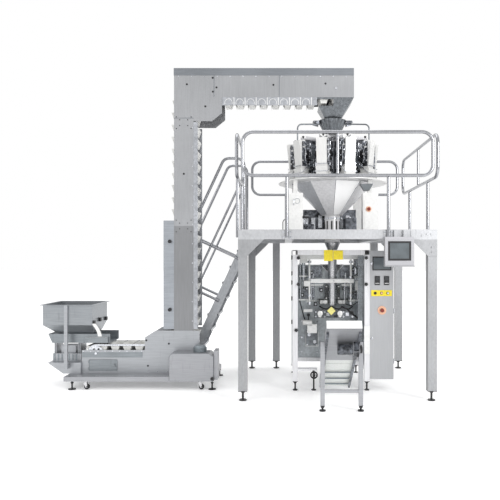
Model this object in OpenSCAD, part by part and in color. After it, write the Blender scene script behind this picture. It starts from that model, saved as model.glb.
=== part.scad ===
/* [Platform] */
// Length of the platform over its beams
platform_l = 2200; // [2000:10:2600]
// Depth of the platform over its beams
platform_d = 2000; // [1900:10:2400]
// Height of the deck's walking surface
deck_z = 1900; // [1800:10:2400]
// Side of a square leg tube
leg_w = 100; // [80:2:120]
// Height of a platform beam
beam_h = 100; // [80:2:140]
// Thickness of the deck plate
deck_t = 6; // [4:1:10]
// Height of a levelling foot under a platform leg
leg_foot_h = 114; // [80:2:140]
// Place of the two inner legs of the rear row, from the middle
inner_leg_x = 700; // [600:10:760]

/* [Guard rails and stair] */
// Outside diameter of the rail tube
rail_dia = 38; // [30:1:50]
// Height of the top rail over the deck
rail_top = 1075; // [1000:5:1200]
// Height of the lower rail over the deck
rail_low = 595; // [500:5:700]
// Bend radius of the rail loops
rail_bend = 120; // [80:5:160]
// Place of the rail posts, from the middle
post_x = 560; // [480:10:640]
// Slope of the stair from the floor, in degrees
stair_slope = 65; // [58:1:70]
// Width of the stair over its stringers
stair_w = 600; // [500:10:700]
// Depth of a stringer plate
stringer_h = 110; // [90:5:150]
// Number of stair treads
tread_count = 8; // [7:1:9]

/* [Bucket elevator] */
// Height of the upper bucket strand over the floor
top_strand_z = 3790; // [3700:10:4400]
// Distance between the two bucket strands
strand_gap = 201; // [190:1:230]
// Height of the loaded strand in the feed section
feed_strand_z = 500; // [470:5:560]
// Place of the tower's loaded strand, from the product axis
tower_strand_x = -1932; // [-2100:2:-1900]
// Place of the head shaft, from the product axis
head_x = 55; // [20:5:100]
// Place of the tail shaft, from the product axis
tail_x = -2925; // [-3060:5:-2900]
// Width of the elevator over its side plates
casing_w = 400; // [380:5:460]
// Thickness of the elevator's sheet
sheet_t = 3; // [2:0.5:5]
// Length of a bucket along the strand
bucket_l = 128; // [110:1:132]
// Width of a bucket across the strand
bucket_w = 320; // [280:5:330]
// Height of a bucket
bucket_h = 84; // [70:1:86]
// Spacing of the buckets that the chain length is divided by
bucket_pitch = 150; // [145:1:170]
// Width of a chain
chain_w = 16; // [12:1:18]
// Height of a chain's links
chain_h = 20; // [16:1:24]

/* [Elevator base and feeder] */
// Height of the elevator base's underside
base_z = 100; // [90:5:130]
// Height of a base rail
base_rail_h = 55; // [40:5:70]
// Depth of the elevator base over its rails
base_d = 880; // [800:10:1000]
// Radius of a caster wheel
caster_r = 32; // [28:1:38]
// Side of the feed hopper's square mouth
hopper_side = 605; // [500:5:700]
// Height of the feed hopper's rim
hopper_rim_z = 1010; // [960:10:1150]
// Travel of the vibrating feed tray each way
tray_travel = 3; // [2:0.5:5]

/* [Weigher] */
// Number of weighing heads
head_count = 10; // [8:2:10]
// Radius of the weigher's base ring opening
ring_r = 530; // [500:5:600]
// Height of the base ring over the deck
ring_over_deck = 620; // [600:10:700]
// Height of the central body over its ring
body_h = 500; // [480:10:560]
// Outlet radius of the collecting chute
throat_r = 95; // [80:1:105]
// Radius of the infeed collar at its top
collar_r = 170; // [150:5:190]

/* [Bagger] */
// Height of the bagger over its frame
bagger_h = 1679; // [1600:5:1700]
// Depth of the bagger over its frame
bagger_d = 1130; // [1060:10:1300]
// Side of a bagger post
post_w = 62; // [50:1:70]
// Outside radius of the forming tube
tube_r = 55; // [45:1:60]
// Wall of the forming tube
tube_t = 1.5; // [1:0.25:3]
// Opening between a sealing jaw and the film line
jaw_gap = 35; // [25:1:40]
// Radius of the jaw guide rods
jaw_rod_r = 12; // [8:1:14]
// Width of the control cabinet
cabinet_w = 285; // [260:5:320]
// Depth of the control cabinet
cabinet_d = 310; // [250:10:400]

/* [Take-off conveyor] */
// Width of the conveyor over its side plates
conveyor_w = 352; // [300:2:400]
// Distance between the conveyor's two rollers
conveyor_l = 1330; // [1200:10:1400]
// Slope of the conveyor from the floor, in degrees
conveyor_slope = 36; // [30:1:40]
// Radius of a conveyor roller
roller_r = 34; // [28:1:38]

/* [Fits] */
// Gap between two pieces that are bolted face to face
seat = 0.3; // [0.2:0.1:0.5]
// Radial clearance of a turning or sliding fit
running = 0.06; // [0.03:0.01:0.1]
// Gap between the straight and the bent lengths of a welded tube
weld = 0.2; // [0.1:0.1:0.4]

/* [Hidden] */
$fn = 48;

// Shared places.  X = 0 is the middle of the platform, Y = 0 the plane of the forming tube.
axis_x = 25;
rail_r = rail_dia / 2;
beam_top = deck_z - deck_t - seat;
beam_z = beam_top - beam_h;
tube_wall = 3;
front_rail_y = platform_d / 2 + rail_r + seat;
side_rail_x = platform_l / 2 + rail_r + seat;
hopper_x = -3240;
hopper_lip = 30;
conveyor_tip_y = -1700;
tube_top = bagger_h - 10;
spout_top = bagger_h + 97;
shoulder_z = 1400;
// The row's origin is on the floor below the middle of the whole line.
origin_x = (hopper_x - hopper_side / 2 - hopper_lip + side_rail_x + rail_r) / 2;
origin_y = (conveyor_tip_y + front_rail_y + rail_r) / 2;

steel = [0.72, 0.73, 0.75];
bright = [0.85, 0.85, 0.86];
dark_steel = [0.55, 0.58, 0.60];
white = [0.93, 0.93, 0.92];
black = [0.08, 0.08, 0.09];
red = [0.80, 0.14, 0.08];

// Moves a piece from the product line's places to the row's origin.
module placed(paint = steel) {
    color(paint) translate([-origin_x, -origin_y, 0]) children();
}

// A block between its low and its high corner.
module block(low, high) {
    translate(low) cube(high - low);
}

// A square tube between two corners, open along one axis: 0 is X, 1 is Y, 2 is Z.
module box_tube(low, high, along, wall = tube_wall) {
    inset = [for (i = [0:2]) i == along ? -1 : wall];
    difference() {
        block(low, high);
        block(low + inset, high - inset);
    }
}

// A round bar between two points.
module rod(a, b, r) {
    d = b - a;
    translate(a) rotate([0, acos(d.z / norm(d)), atan2(d.y, d.x)]) cylinder(h = norm(d), r = r);
}

// The bent length of a tube at the point p, between the directions u and v.
module bend(p, u, v, bend_r, r) {
    turn = acos(u * v);
    side = (v - u * cos(turn)) / sin(turn);
    up = cross(-side, u);
    c = p - u * bend_r * tan(turn / 2) + side * bend_r;
    m = [for (i = [0:2]) [-side[i], u[i], up[i], c[i]]];
    multmatrix(m) rotate_extrude(angle = turn) translate([bend_r, 0]) circle(r = r);
}

// A tube along the points pts, with each corner bent to bend_r.
module pipe(pts, r, bend_r) {
    n = len(pts);
    dir = [for (i = [0:n - 2]) (pts[i + 1] - pts[i]) / norm(pts[i + 1] - pts[i])];
    cut = [for (i = [0:n - 1])
        i == 0 || i == n - 1 ? 0 : weld + bend_r * tan(acos(dir[i - 1] * dir[i]) / 2)];
    for (i = [0:n - 2]) rod(pts[i] + dir[i] * cut[i], pts[i + 1] - dir[i] * cut[i + 1], r);
    for (i = [1:1:n - 2]) bend(pts[i], dir[i - 1], dir[i], bend_r, r);
}

// A closed rail loop in the plane of Z and the unit direction u, around the point c.
module rail_loop(c, u, half, low, high) {
    side = half - rail_bend - weld;
    rise = [0, 0, rail_bend + weld];
    up = [0, 0, 1];
    for (z = [low, high]) rod(c + u * -side + up * z, c + u * side + up * z, rail_r);
    for (s = [-1, 1]) {
        rod(c + u * half * s + up * low + rise, c + u * half * s + up * high - rise, rail_r);
        bend(c + u * half * s + up * low, u * s, up, rail_bend, rail_r);
        bend(c + u * half * s + up * high, u * s, -up, rail_bend, rail_r);
    }
}

// A plate with the outline pts in X and Z, from y0 to y1.
module plate_xz(pts, y0, y1) {
    translate([0, y1, 0]) rotate([90, 0, 0]) linear_extrude(y1 - y0) polygon(pts);
}

// A plate with the outline pts in Y and Z, from x0 to x1.
module plate_yz(pts, x0, x1) {
    translate([x0, 0, 0]) rotate([90, 0, 90]) linear_extrude(x1 - x0) polygon(pts);
}

// A round disc across Y.
module disc_y(x, z, y0, y1, r) {
    translate([x, y0, z]) rotate([-90, 0, 0]) cylinder(h = y1 - y0, r = r);
}

// A round disc across X.
module disc_x(y, z, x0, x1, r) {
    translate([x0, y, z]) rotate([0, 90, 0]) cylinder(h = x1 - x0, r = r);
}

/* ---------- Platform ---------- */

leg_in = platform_l / 2 - leg_w;
beam_x = 480;
leg_back = platform_d / 2 - leg_w;
gusset = 290;
gusset_t = 6;
deck_hole_r = throat_r + 25;
screen_x = 507;
screen_w = 315;
screen_y = -(platform_d / 2 + 30);
screen_d = 80;
screen_top = beam_z + 22;

// The places of the six legs: their corner with the lowest X and Y.
leg_places = [
    for (sy = [-1, 1]) for (sx = [-1, 1])
        [sx < 0 ? -platform_l / 2 : leg_in, sy < 0 ? -platform_d / 2 : leg_back],
    for (sx = [-1, 1]) [sx * inner_leg_x - leg_w / 2, leg_back]
];

module platform_frame() {
    placed(steel) {
        for (p = leg_places)
            box_tube([p.x, p.y, leg_foot_h], [p.x + leg_w, p.y + leg_w, beam_z - weld], 2);
        for (y = [-platform_d / 2, leg_back])
            box_tube([-platform_l / 2, y, beam_z], [platform_l / 2, y + leg_w, beam_top], 0);
        for (x = [-platform_l / 2, -beam_x - leg_w, beam_x, leg_in])
            box_tube([x, -leg_back + weld, beam_z], [x + leg_w, leg_back - weld, beam_top], 1);
        for (sx = [-1, 1]) for (sy = [-1, 1]) gusset_plate(sx, sy);
        for (x = [-post_x, post_x]) joint_plate(x);
        for (x = [screen_x + 112, screen_x + screen_w - 100])
            block([x, screen_y + seat, screen_top - 60], [x + 40, -platform_d / 2 - seat, beam_top]);
    }
}

// A corner plate over the end of a beam and the top of its leg, with bolt heads.
module gusset_plate(sx, sy) {
    edge = platform_l / 2;
    pts = [[0, 0], [gusset, 0], [gusset, -beam_h], [leg_w, -gusset], [0, -gusset]];
    out = [for (p = pts) [sx * (edge - p.x), beam_top + p.y]];
    y = sy * (platform_d / 2 + gusset_t / 2 + seat);
    plate_xz(out, y - gusset_t / 2, y + gusset_t / 2);
    for (b = [[60, -45], [110, -45], [55, -190], [55, -240], [165, -60]])
        disc_y(sx * (edge - b.x), beam_top + b.y,
               sy > 0 ? y + gusset_t / 2 + weld : y - gusset_t / 2 - weld - 8,
               sy > 0 ? y + gusset_t / 2 + weld + 8 : y - gusset_t / 2 - weld, 11);
}

// The bolted joint in a long beam, beside a rail post.
module joint_plate(x) {
    for (sy = [-1, 1]) {
        y = sy * (platform_d / 2 + gusset_t / 2 + seat);
        for (dx = [-1, 1])
            block([x + dx * 38 - 16, y - gusset_t / 2, beam_z + 4],
                  [x + dx * 38 + 16, y + gusset_t / 2, beam_top - 4]);
    }
}

module deck_plate() {
    placed(bright) difference() {
        block([-platform_l / 2, -platform_d / 2, deck_z - deck_t],
              [platform_l / 2, platform_d / 2, deck_z]);
        translate([axis_x, 0, deck_z]) cylinder(h = 4 * deck_t, r = deck_hole_r, center = true);
    }
}

side_post_y = 500;
rail_half_x = platform_l / 2 - 50;
rail_half_y = platform_d / 2 - 40;
left_half = rail_half_y / 2;
left_mid = -rail_half_y + left_half;

module guard_rails() {
    low = deck_z + rail_low;
    high = deck_z + rail_top;
    foot = beam_z + 24;
    up = [0, 0, 1];
    placed(bright) {
        for (s = [-1, 1]) {
            rail_loop([0, s * front_rail_y, 0], [1, 0, 0], rail_half_x, low, high);
            for (x = [-post_x, post_x])
                rod([x, s * front_rail_y, foot], [x, s * front_rail_y, low - rail_r - weld], rail_r);
            rod([0, s * front_rail_y, low + rail_r + weld],
                [0, s * front_rail_y, high - rail_r - weld], rail_r * 0.8);
        }
        rail_loop([side_rail_x, 0, 0], [0, 1, 0], rail_half_y, low, high);
        for (y = [-side_post_y, side_post_y])
            rod([side_rail_x, y, foot], [side_rail_x, y, low - rail_r - weld], rail_r);
        rod([side_rail_x, 0, low + rail_r + weld], [side_rail_x, 0, high - rail_r - weld],
            rail_r * 0.8);
        rail_loop([-side_rail_x, left_mid, 0], [0, 1, 0], left_half, low, high);
        for (y = [left_mid - left_half + rail_bend + rail_r, left_mid + left_half - rail_bend - rail_r])
            rod([-side_rail_x, y, foot], [-side_rail_x, y, low - rail_r - weld], rail_r);
    }
}

/* ---------- Stair ---------- */

stair_y = 300;
stringer_t = 8;
stair_top = [-platform_l / 2 - seat, 0, deck_z - deck_t];
down = [-cos(stair_slope), 0, -sin(stair_slope)];
out = [-sin(stair_slope), 0, cos(stair_slope)];
stair_run = stair_top.z / tan(stair_slope);
tread_d = 150;
tread_t = 30;
rise = deck_z / (tread_count + 1);
handrail_high = 680;
handrail_mid = 350;
handrail_top = 1000;
handrail_l = 944;
mid_r = rail_r * 0.8;

// The X of the stringer's upper edge at the height z.
function stair_x(z) = stair_top.x - (stair_top.z - z) / tan(stair_slope);

module stair() {
    flat = stringer_h / sin(stair_slope);
    pts = [[stair_top.x, stair_top.z], [stair_x(0), 0], [stair_x(0) + flat, 0],
           [stair_top.x, stair_top.z - flat * tan(stair_slope)]];
    placed(steel) for (y = [stair_y, stair_y + stair_w - stringer_t])
        plate_xz(pts, y, y + stringer_t);
    placed(bright) for (i = [1:tread_count]) {
        z = i * rise;
        x = stair_x(z) - 20;
        box_tube([x, stair_y + stringer_t + seat, z - tread_t],
                 [x + tread_d, stair_y + stair_w - stringer_t - seat, z], 1, 2.5);
    }
}

// The two rails at the depth y, from the deck post down to their leg on the stringer.
module handrail_side(y) {
    start = [stair_top.x, y, stair_top.z];
    high = start + out * handrail_high;
    mid = start + out * handrail_mid;
    low_leg = out * -stringer_h / 2;
    top_z = deck_z + handrail_top;
    corner = high + down * ((top_z - high.z) / down.z);
    mid_from = (mid.x + side_rail_x + rail_r + mid_r * sin(stair_slope) + weld) / cos(stair_slope);
    pipe([[-side_rail_x, y, beam_z + 6], [-side_rail_x, y, top_z], corner,
          high + down * handrail_l, start + low_leg + down * handrail_l], rail_r, 100);
    rod(mid + down * mid_from, mid + down * (handrail_l - rail_r - weld), mid_r);
    strut = down * handrail_l * 0.35;
    rod(start + low_leg + strut, mid + strut - out * (mid_r + weld), mid_r);
    rod(mid + strut + out * (mid_r + weld), high + strut - out * (rail_r + weld), mid_r);
}

module stair_handrails() {
    placed(bright) for (y = [stair_y - rail_r - seat, stair_y + stair_w + rail_r + seat])
        handrail_side(y);
}

/* ---------- Levelling feet, shared by the platform, elevator, bagger and conveyor ---------- */

// A foot at x and y: a disc on the floor and a threaded stem with its nut, up to h.
// A leg of square tube has a closing plate, half as wide as the leg, that the stem screws into.
module foot(x, y, h, disc_r, stem_r = 10, plate = 0) {
    translate([x, y, 0]) {
        cylinder(h = 12, r = disc_r);
        cylinder(h = h - seat, r = stem_r);
        translate([0, 0, h - 26]) cylinder(h = 14, r = stem_r * 1.9, $fn = 6);
        if (plate > 0) block([-plate, -plate, h - 8], [plate, plate, h - seat]);
    }
}

module levelling_feet() {
    placed(black) {
        for (p = leg_places) foot(p.x + leg_w / 2, p.y + leg_w / 2, leg_foot_h, 42, 12, leg_w / 2);
        for (x = [base_x0 + 95, base_x1 - 20]) for (s = [-1, 1])
            foot(x, s * (base_d / 2 - base_rail_w / 2), base_z, 45);
        for (x = [bagger_x0 + post_w / 2, bagger_x1 - post_w / 2]) for (y = bagger_post_y)
            foot(x, y + post_w / 2, bagger_leg_z, 30, 10, post_w / 2);
        foot(sill_foot_x, bagger_post_y[0] + post_w / 2, sill_z, 30);
        for (s = [-1, 1]) foot(conveyor_x + s * leg_x, conveyor_leg_y, conveyor_foot_h, 33, 10, leg_side / 2);
    }
}

/* ---------- Operator screen, hung below the front beam ---------- */

module operator_screen() {
    face = 6;
    placed(steel) difference() {
        block([screen_x, screen_y - screen_d, screen_top - screen_w],
              [screen_x + screen_w, screen_y, screen_top]);
        block([screen_x + 32, screen_y - screen_d - 1, screen_top - screen_w + 55],
              [screen_x + screen_w - 32, screen_y - screen_d + face, screen_top - 48]);
    }
}

/* ---------- Bucket elevator ---------- */

half_w = casing_w / 2;
chain_y = bucket_w / 2 + 12;
// Each bend of the chain is this many straight links.
bend_steps = 10;
in_w = half_w - sheet_t;
feed_bend = 90;
top_bend = 130;
return_top_z = top_strand_z - strand_gap;
return_feed_z = feed_strand_z - strand_gap;
wrap_r = strand_gap / 2;
tower_back_x = tower_strand_x + strand_gap;
feed_c = [tower_strand_x - feed_bend, feed_strand_z + feed_bend];
top_c = [tower_back_x + top_bend, return_top_z - top_bend];
head_z = top_strand_z - wrap_r;
tail_z = feed_strand_z - wrap_r;
tower_x0 = tower_strand_x - 25;
tower_x1 = tower_back_x + 16;
head_end = head_x + wrap_r + bucket_l / 2 + 57;
top_low_z = return_top_z - 10;
cover_z = top_strand_z + 60;
casing_top = cover_z + 90;
housing_x0 = tail_x - wrap_r - bucket_l / 2 - 12;
housing_z0 = base_z + base_rail_h + seat;
housing_top = feed_strand_z - 60;
housing_hood = feed_c[1] + 90;
tower_seam = 1980;
corner_low_z = top_c[1] - 177;
corner_x1 = top_c[0] + 240;

// The lengths of the chain's twelve stretches, in order from the tail shaft.
stretch = [
    feed_c[0] - tail_x, PI / 2 * feed_bend, top_c[1] - feed_c[1],
    PI / 2 * (top_bend + strand_gap), head_x - top_c[0], PI * wrap_r,
    head_x - top_c[0], PI / 2 * top_bend, top_c[1] - feed_c[1],
    PI / 2 * (feed_bend + strand_gap), feed_c[0] - tail_x, PI * wrap_r
];

// The sum of the first n numbers of the list v.
function total(v, n) = n == 0 ? 0 : v[n - 1] + total(v, n - 1);
chain_l = total(stretch, 12);
bucket_count = floor(chain_l / bucket_pitch);

// A point on an arc about c, off past the angle a0, turning one way with s.
function on_arc(c, r, a0, s, d) = let (a = a0 + s * d / r * 180 / PI)
    [c[0] + r * cos(a), c[1] + r * sin(a)];

// The point at the distance d into the chain's stretch n, moved outwards by o.
function on_stretch(n, d, o) =
    n == 0 ? [tail_x + d, feed_strand_z + o] :
    n == 1 ? on_arc(feed_c, feed_bend - o, -90, 1, d * (feed_bend - o) / feed_bend) :
    n == 2 ? [tower_strand_x - o, feed_c[1] + d] :
    n == 3 ? on_arc(top_c, top_bend + strand_gap + o, 180, -1,
                    d * (top_bend + strand_gap + o) / (top_bend + strand_gap)) :
    n == 4 ? [top_c[0] + d, top_strand_z + o] :
    n == 5 ? on_arc([head_x, head_z], wrap_r + o, 90, -1, d * (wrap_r + o) / wrap_r) :
    n == 6 ? [head_x - d, return_top_z - o] :
    n == 7 ? on_arc(top_c, top_bend - o, 90, 1, d * (top_bend - o) / top_bend) :
    n == 8 ? [tower_back_x + o, top_c[1] - d] :
    n == 9 ? on_arc(feed_c, feed_bend + strand_gap + o, 0, -1,
                    d * (feed_bend + strand_gap + o) / (feed_bend + strand_gap)) :
    n == 10 ? [feed_c[0] - d, return_feed_z - o] :
    on_arc([tail_x, tail_z], wrap_r + o, -90, -1, d * (wrap_r + o) / wrap_r);

// The point of the chain at the distance d from its start.
function on_chain(d, n = 0) = d <= stretch[n] || n == 11 ? on_stretch(n, d, 0)
    : on_chain(d - stretch[n], n + 1);

// The chain's outline moved outwards by o, with each bend in steps.
function chain_line(o) = [
    for (n = [0:11]) let (steps = n % 2 == 0 ? 1 : bend_steps)
        for (k = [0:steps - 1]) on_stretch(n, stretch[n] * k / steps, o)
];

module elevator_chains() {
    placed(dark_steel) for (y = [-chain_y - chain_w, chain_y])
        translate([0, y + chain_w, 0]) rotate([90, 0, 0]) linear_extrude(chain_w) difference() {
            polygon(chain_line(chain_h / 2));
            polygon(chain_line(-chain_h / 2));
        }
}

// One bucket below its pin: a tapered trough with a wall all round and a pin at each end.
module bucket() {
    lip = 10;
    wall = 2.5;
    taper = 0.54;
    low = lip - bucket_h;
    half = bucket_l / 2;
    outer = [[-half, lip], [-half * taper, low], [half * taper, low], [half, lip]];
    inner = [[-half + wall, lip + 1], [-half * taper + wall, low + wall],
             [half * taper - wall, low + wall], [half - wall, lip + 1]];
    difference() {
        plate_xz(outer, -bucket_w / 2, bucket_w / 2);
        plate_xz(inner, -bucket_w / 2 + wall, bucket_w / 2 - wall);
    }
    for (s = [-1, 1]) disc_y(0, 0, s > 0 ? bucket_w / 2 - 1 : seat - chain_y,
                             s > 0 ? chain_y - seat : 1 - bucket_w / 2, 5);
}

module elevator_buckets() {
    placed(white) for (i = [0:bucket_count - 1]) {
        p = on_chain((i + 0.5) * chain_l / bucket_count);
        translate([p[0], 0, p[1]]) bucket();
    }
}

// A shaft with two chain wheels at x and z; the wheels run inside the chain.
module chain_shaft(x, z, wheel_r, half_l, front_l) {
    difference() {
        union() {
            disc_y(x, z, -half_l - front_l, half_l, shaft_r);
            for (y = [-chain_y - chain_w, chain_y]) disc_y(x, z, y, y + chain_w, wheel_r);
        }
        for (a = [0:60:300]) disc_y(x + wheel_r * 0.62 * cos(a), z + wheel_r * 0.62 * sin(a),
                                    -half_w, half_w, wheel_r * 0.16);
    }
}
shaft_r = 15;
drive_r = 60;
wheel_gap = 0.5;
// The drive wheels run against the inside of the lower outer bend, at this angle below level.
drive_angle = -60;
drive_reach = (feed_bend + strand_gap - chain_h / 2) * cos(45 / bend_steps) - wheel_gap - drive_r;
drive_c = [feed_c[0] + drive_reach * cos(drive_angle), feed_c[1] + drive_reach * sin(drive_angle)];
end_wheel_r = (wrap_r - chain_h / 2) * cos(90 / bend_steps) - wheel_gap;

module head_shaft() {
    placed(dark_steel) chain_shaft(head_x, head_z, end_wheel_r, half_w + 12, 0);
}

module tail_shaft() {
    placed(dark_steel) chain_shaft(tail_x, tail_z, end_wheel_r, half_w + 12, 0);
}

module drive_shaft() {
    placed(dark_steel) chain_shaft(drive_c[0], drive_c[1], drive_r, half_w + 12, 60);
}

// The holes that the three shafts turn in.
module shaft_holes() {
    for (c = [[head_x, head_z], [tail_x, tail_z], drive_c])
        disc_y(c[0], c[1], -half_w - 30, half_w + 30, shaft_r + running);
}

// The outline of the upper side plate, with the tower, the corner and the top run.
upper_plate = [
    [tower_x0, tower_seam + seat], [tower_x0, casing_top - sheet_t - seat],
    [head_end - sheet_t - seat, casing_top - sheet_t - seat], [head_end - sheet_t - seat, top_low_z],
    [corner_x1, top_low_z], [corner_x1, corner_low_z + 100], [corner_x1 - 124, corner_low_z],
    [tower_x1, corner_low_z], [tower_x1, tower_seam + seat]
];
lower_plate = [
    [tower_x0, housing_hood + seat], [tower_x0, tower_seam], [tower_x1, tower_seam],
    [tower_x1, housing_hood + seat]
];

module elevator_side_plates() {
    placed(steel) difference() {
        for (y = [-half_w, in_w]) {
            plate_xz(upper_plate, y, y + sheet_t);
            plate_xz(lower_plate, y, y + sheet_t);
        }
        shaft_holes();
    }
    placed(steel) for (s = [-1, 1]) {
        // The joint plate over the seam of the upper and the lower side plates.
        y = s * (half_w + joint_t / 2 + seat);
        plate_xz([[tower_x0 + 4, tower_seam - 90], [tower_x1 - 4, tower_seam - 90],
                  [tower_x1 - 4, tower_seam + 90], [tower_x0 + 4, tower_seam + 90]],
                 y - joint_t / 2, y + joint_t / 2);
    }
}

guard_x0 = tower_strand_x - bucket_l / 2 - 91;
guard_z0 = housing_hood + 22;
guard_z1 = tower_seam + 68;
// The joint plates stand out this far from the side plates.
joint_t = 4;

module elevator_covers() {
    skirt = half_w + sheet_t + seat;
    placed(dark_steel) {
        // The roof of the top run, with a skirt on three sides and its end plate.
        difference() {
            block([tower_x0 - sheet_t - seat, -skirt, cover_z], [head_end, skirt, casing_top]);
            block([tower_x0 - seat, -half_w - seat, cover_z - 1],
                  [head_end - sheet_t, half_w + seat, casing_top - sheet_t]);
        }
        block([head_end - sheet_t, -half_w, top_low_z], [head_end, half_w, cover_z - weld]);
        // The closed box over the loaded strand of the lower tower.
        difference() {
            block([guard_x0, -half_w, guard_z0], [tower_x0 - seat, half_w, guard_z1]);
            block([guard_x0 + sheet_t, -in_w, guard_z0 - 1],
                  [tower_x0 + 1, in_w, guard_z1 + 1]);
        }
    }
}

module elevator_ties() {
    tie = 24;
    mid_x = tower_strand_x + strand_gap / 2;
    placed(dark_steel) {
        for (z = [900:520:3300]) tie_bar(mid_x, z, tie);
        for (x = [top_c[0] + 130:400:head_x - 150]) tie_bar(x, head_z, tie);
        for (x = [tail_x + 260:330:feed_c[0]]) tie_bar(x, tail_z, tie);
        for (y = [-in_w + seat, in_w - seat - rail_wide]) chain_rails(y);
    }
}
rail_wide = in_w - chain_y - chain_w - 2 * seat;

// The rails from y that carry the chain's pins along the straight stretches.
module chain_rails(y) {
    for (n = [0:2:10]) {
        a = on_stretch(n, 0, 0);
        b = on_stretch(n, stretch[n], 0);
        block([min(a[0], b[0]) - 4, y, min(a[1], b[1]) - 4],
              [max(a[0], b[0]) + 4, y + rail_wide, max(a[1], b[1]) + 4]);
    }
}

// A square bar between the side plates.
module tie_bar(x, z, side) {
    block([x - side / 2, -in_w + seat, z - side / 2], [x + side / 2, in_w - seat, z + side / 2]);
}

// The places of the bolts on the tower's face, as X and Z.
tower_mid_x = (tower_x0 + tower_x1) / 2;
face_bolts = [
    for (z = [corner_low_z - 20, tower_seam]) for (d = [[92, 72], [50, 36]])
        for (sx = [-1, 1]) for (sz = [-1, 1]) [tower_mid_x + sx * d[0], z + sz * d[1]]
];

module elevator_fasteners() {
    head_y = half_w + seat;
    placed(black) {
        for (s = [-1, 1]) for (b = face_bolts) {
            y = head_y + (b[1] < tower_seam + 80 ? joint_t + seat : 0);
            disc_y(b[0], b[1], s > 0 ? y : -y - 5, s > 0 ? y + 5 : -y, 6);
        }
        for (z = [guard_z0 + 240, guard_z1 - 260]) for (s = [-1, 1])
            disc_y(guard_x0 + 80, z, s > 0 ? head_y : -head_y - 28, s > 0 ? head_y + 28 : -head_y, 22);
    }
}

base_x0 = -3240;
base_x1 = -1437;
base_rail_w = 50;
door_x0 = housing_x0 + 92;
door_x1 = door_x0 + 350;
door_z0 = 185;
door_z1 = 324;
hinge_r = 5;
door_y = -half_w - hinge_r - seat;
cover_x0 = drive_c[0] - 64;
cover_x1 = base_x1;
cover_y0 = -base_d / 2 - 2 - seat;
cover_top = 440;
motor_x = -1617;
motor_y = -315;
motor_r = 82;

module lower_housing() {
    y = half_w - sheet_t;
    side = [
        [housing_x0, housing_z0], [housing_x0, housing_top], [feed_c[0] - 295, housing_top],
        [feed_c[0] - 295, housing_top + 157], [feed_c[0] - 165, housing_hood],
        [tower_x1 + 75, housing_hood], [tower_x1 + 75, housing_z0]
    ];
    placed(steel) difference() {
        union() {
            for (s = [-half_w, y]) plate_xz(side, s, s + sheet_t);
            block([housing_x0, -half_w, housing_z0], [tower_x1 + 75, half_w, housing_z0 + sheet_t]);
            block([housing_x0, -half_w, housing_z0], [housing_x0 + sheet_t, half_w, housing_top - 60]);
        }
        block([door_x0 + 20, -half_w - 1, door_z0 + 16],
              [door_x1 - 16, -half_w + sheet_t + 1, door_z1 - 16]);
        shaft_holes();
    }
}

module inspection_door() {
    placed(bright) {
        block([door_x0, door_y - sheet_t, door_z0], [door_x1, door_y, door_z1]);
        // The hinge's knuckles and the turning latch.
        for (z = [door_z0 + 12, door_z1 - 42])
            translate([door_x0 - hinge_r - weld, door_y, z]) cylinder(h = 30, r = hinge_r);
        disc_y(door_x1 - 40, (door_z0 + door_z1) / 2, door_y - 22, door_y - sheet_t - weld, 16);
    }
}

module drive_motor() {
    body_z = cover_top - 8;
    top_z = 518;
    placed(dark_steel) {
        difference() {
            block([cover_x0 + 42, cover_y0 + 30, base_z + base_rail_h + seat],
                  [motor_x + motor_r, -half_w - 45, body_z]);
            disc_y(drive_c[0], drive_c[1], -half_w - 200, -half_w, shaft_r + running);
        }
        // The motor stands on its gearbox, with cooling fins and a domed cap.
        translate([motor_x, motor_y, body_z + weld]) {
            cylinder(h = top_z - body_z - 14, r = motor_r * 0.86);
            for (z = [6:12:top_z - body_z - 24]) translate([0, 0, z]) cylinder(h = 5, r = motor_r);
            translate([0, 0, top_z - body_z - 14]) cylinder(h = 14, r1 = motor_r * 0.86, r2 = 40);
        }
    }
}

module drive_cover() {
    z0 = base_z;
    t = 2;
    corner = 60;
    shape = [
        [cover_x0, z0], for (a = [180:-15:90])
            [cover_x0 + corner + corner * cos(a), cover_top - corner + corner * sin(a)],
        [cover_x1 - 55, cover_top], [cover_x1, cover_top - 38], [cover_x1, z0]
    ];
    y1 = -half_w - seat;
    placed(steel) difference() {
        plate_xz(shape, cover_y0, y1);
        intersection() {
            translate([t, 0, 0]) plate_xz(shape, cover_y0 + t, y1 + 1);
            translate([-t, 0, -t]) plate_xz(shape, cover_y0 + t, y1 + 1);
        }
        // The way in for the base rail and the cross rail, and the hole for the motor.
        block([cover_x0 - 1, cover_y0 + t, z0 - 1], [cover_x1 + 1, y1 + 1, z0 + base_rail_h + 2 * seat]);
        translate([motor_x, motor_y, cover_top - 10]) cylinder(h = 20, r = motor_r + 4);
    }
    placed(steel) block([cover_x1 + seat, cover_y0 + 20, z0 + 15], [cover_x1 + 46, y1 - 20, cover_top + 26]);
}

module elevator_base() {
    z1 = base_z + base_rail_h;
    y = base_d / 2;
    placed(steel) {
        for (s = [-y, y - base_rail_w])
            box_tube([base_x0, s, base_z], [base_x1, s + base_rail_w, z1], 0);
        for (x = [base_x0, housing_x0 + 60, housing_x0 + 700, tower_x1 - 60, base_x1 - base_rail_w])
            box_tube([x, -y + base_rail_w + weld, base_z], [x + base_rail_w, y - base_rail_w - weld, z1], 1);
    }
}

caster_x = [housing_x0 + 120, base_x1 - 165];
caster_y = -base_d / 2 + base_rail_w / 2;
caster_z = caster_r + 3;
caster_trail = 18;
caster_w = 26;
caster_pin = 6;

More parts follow.
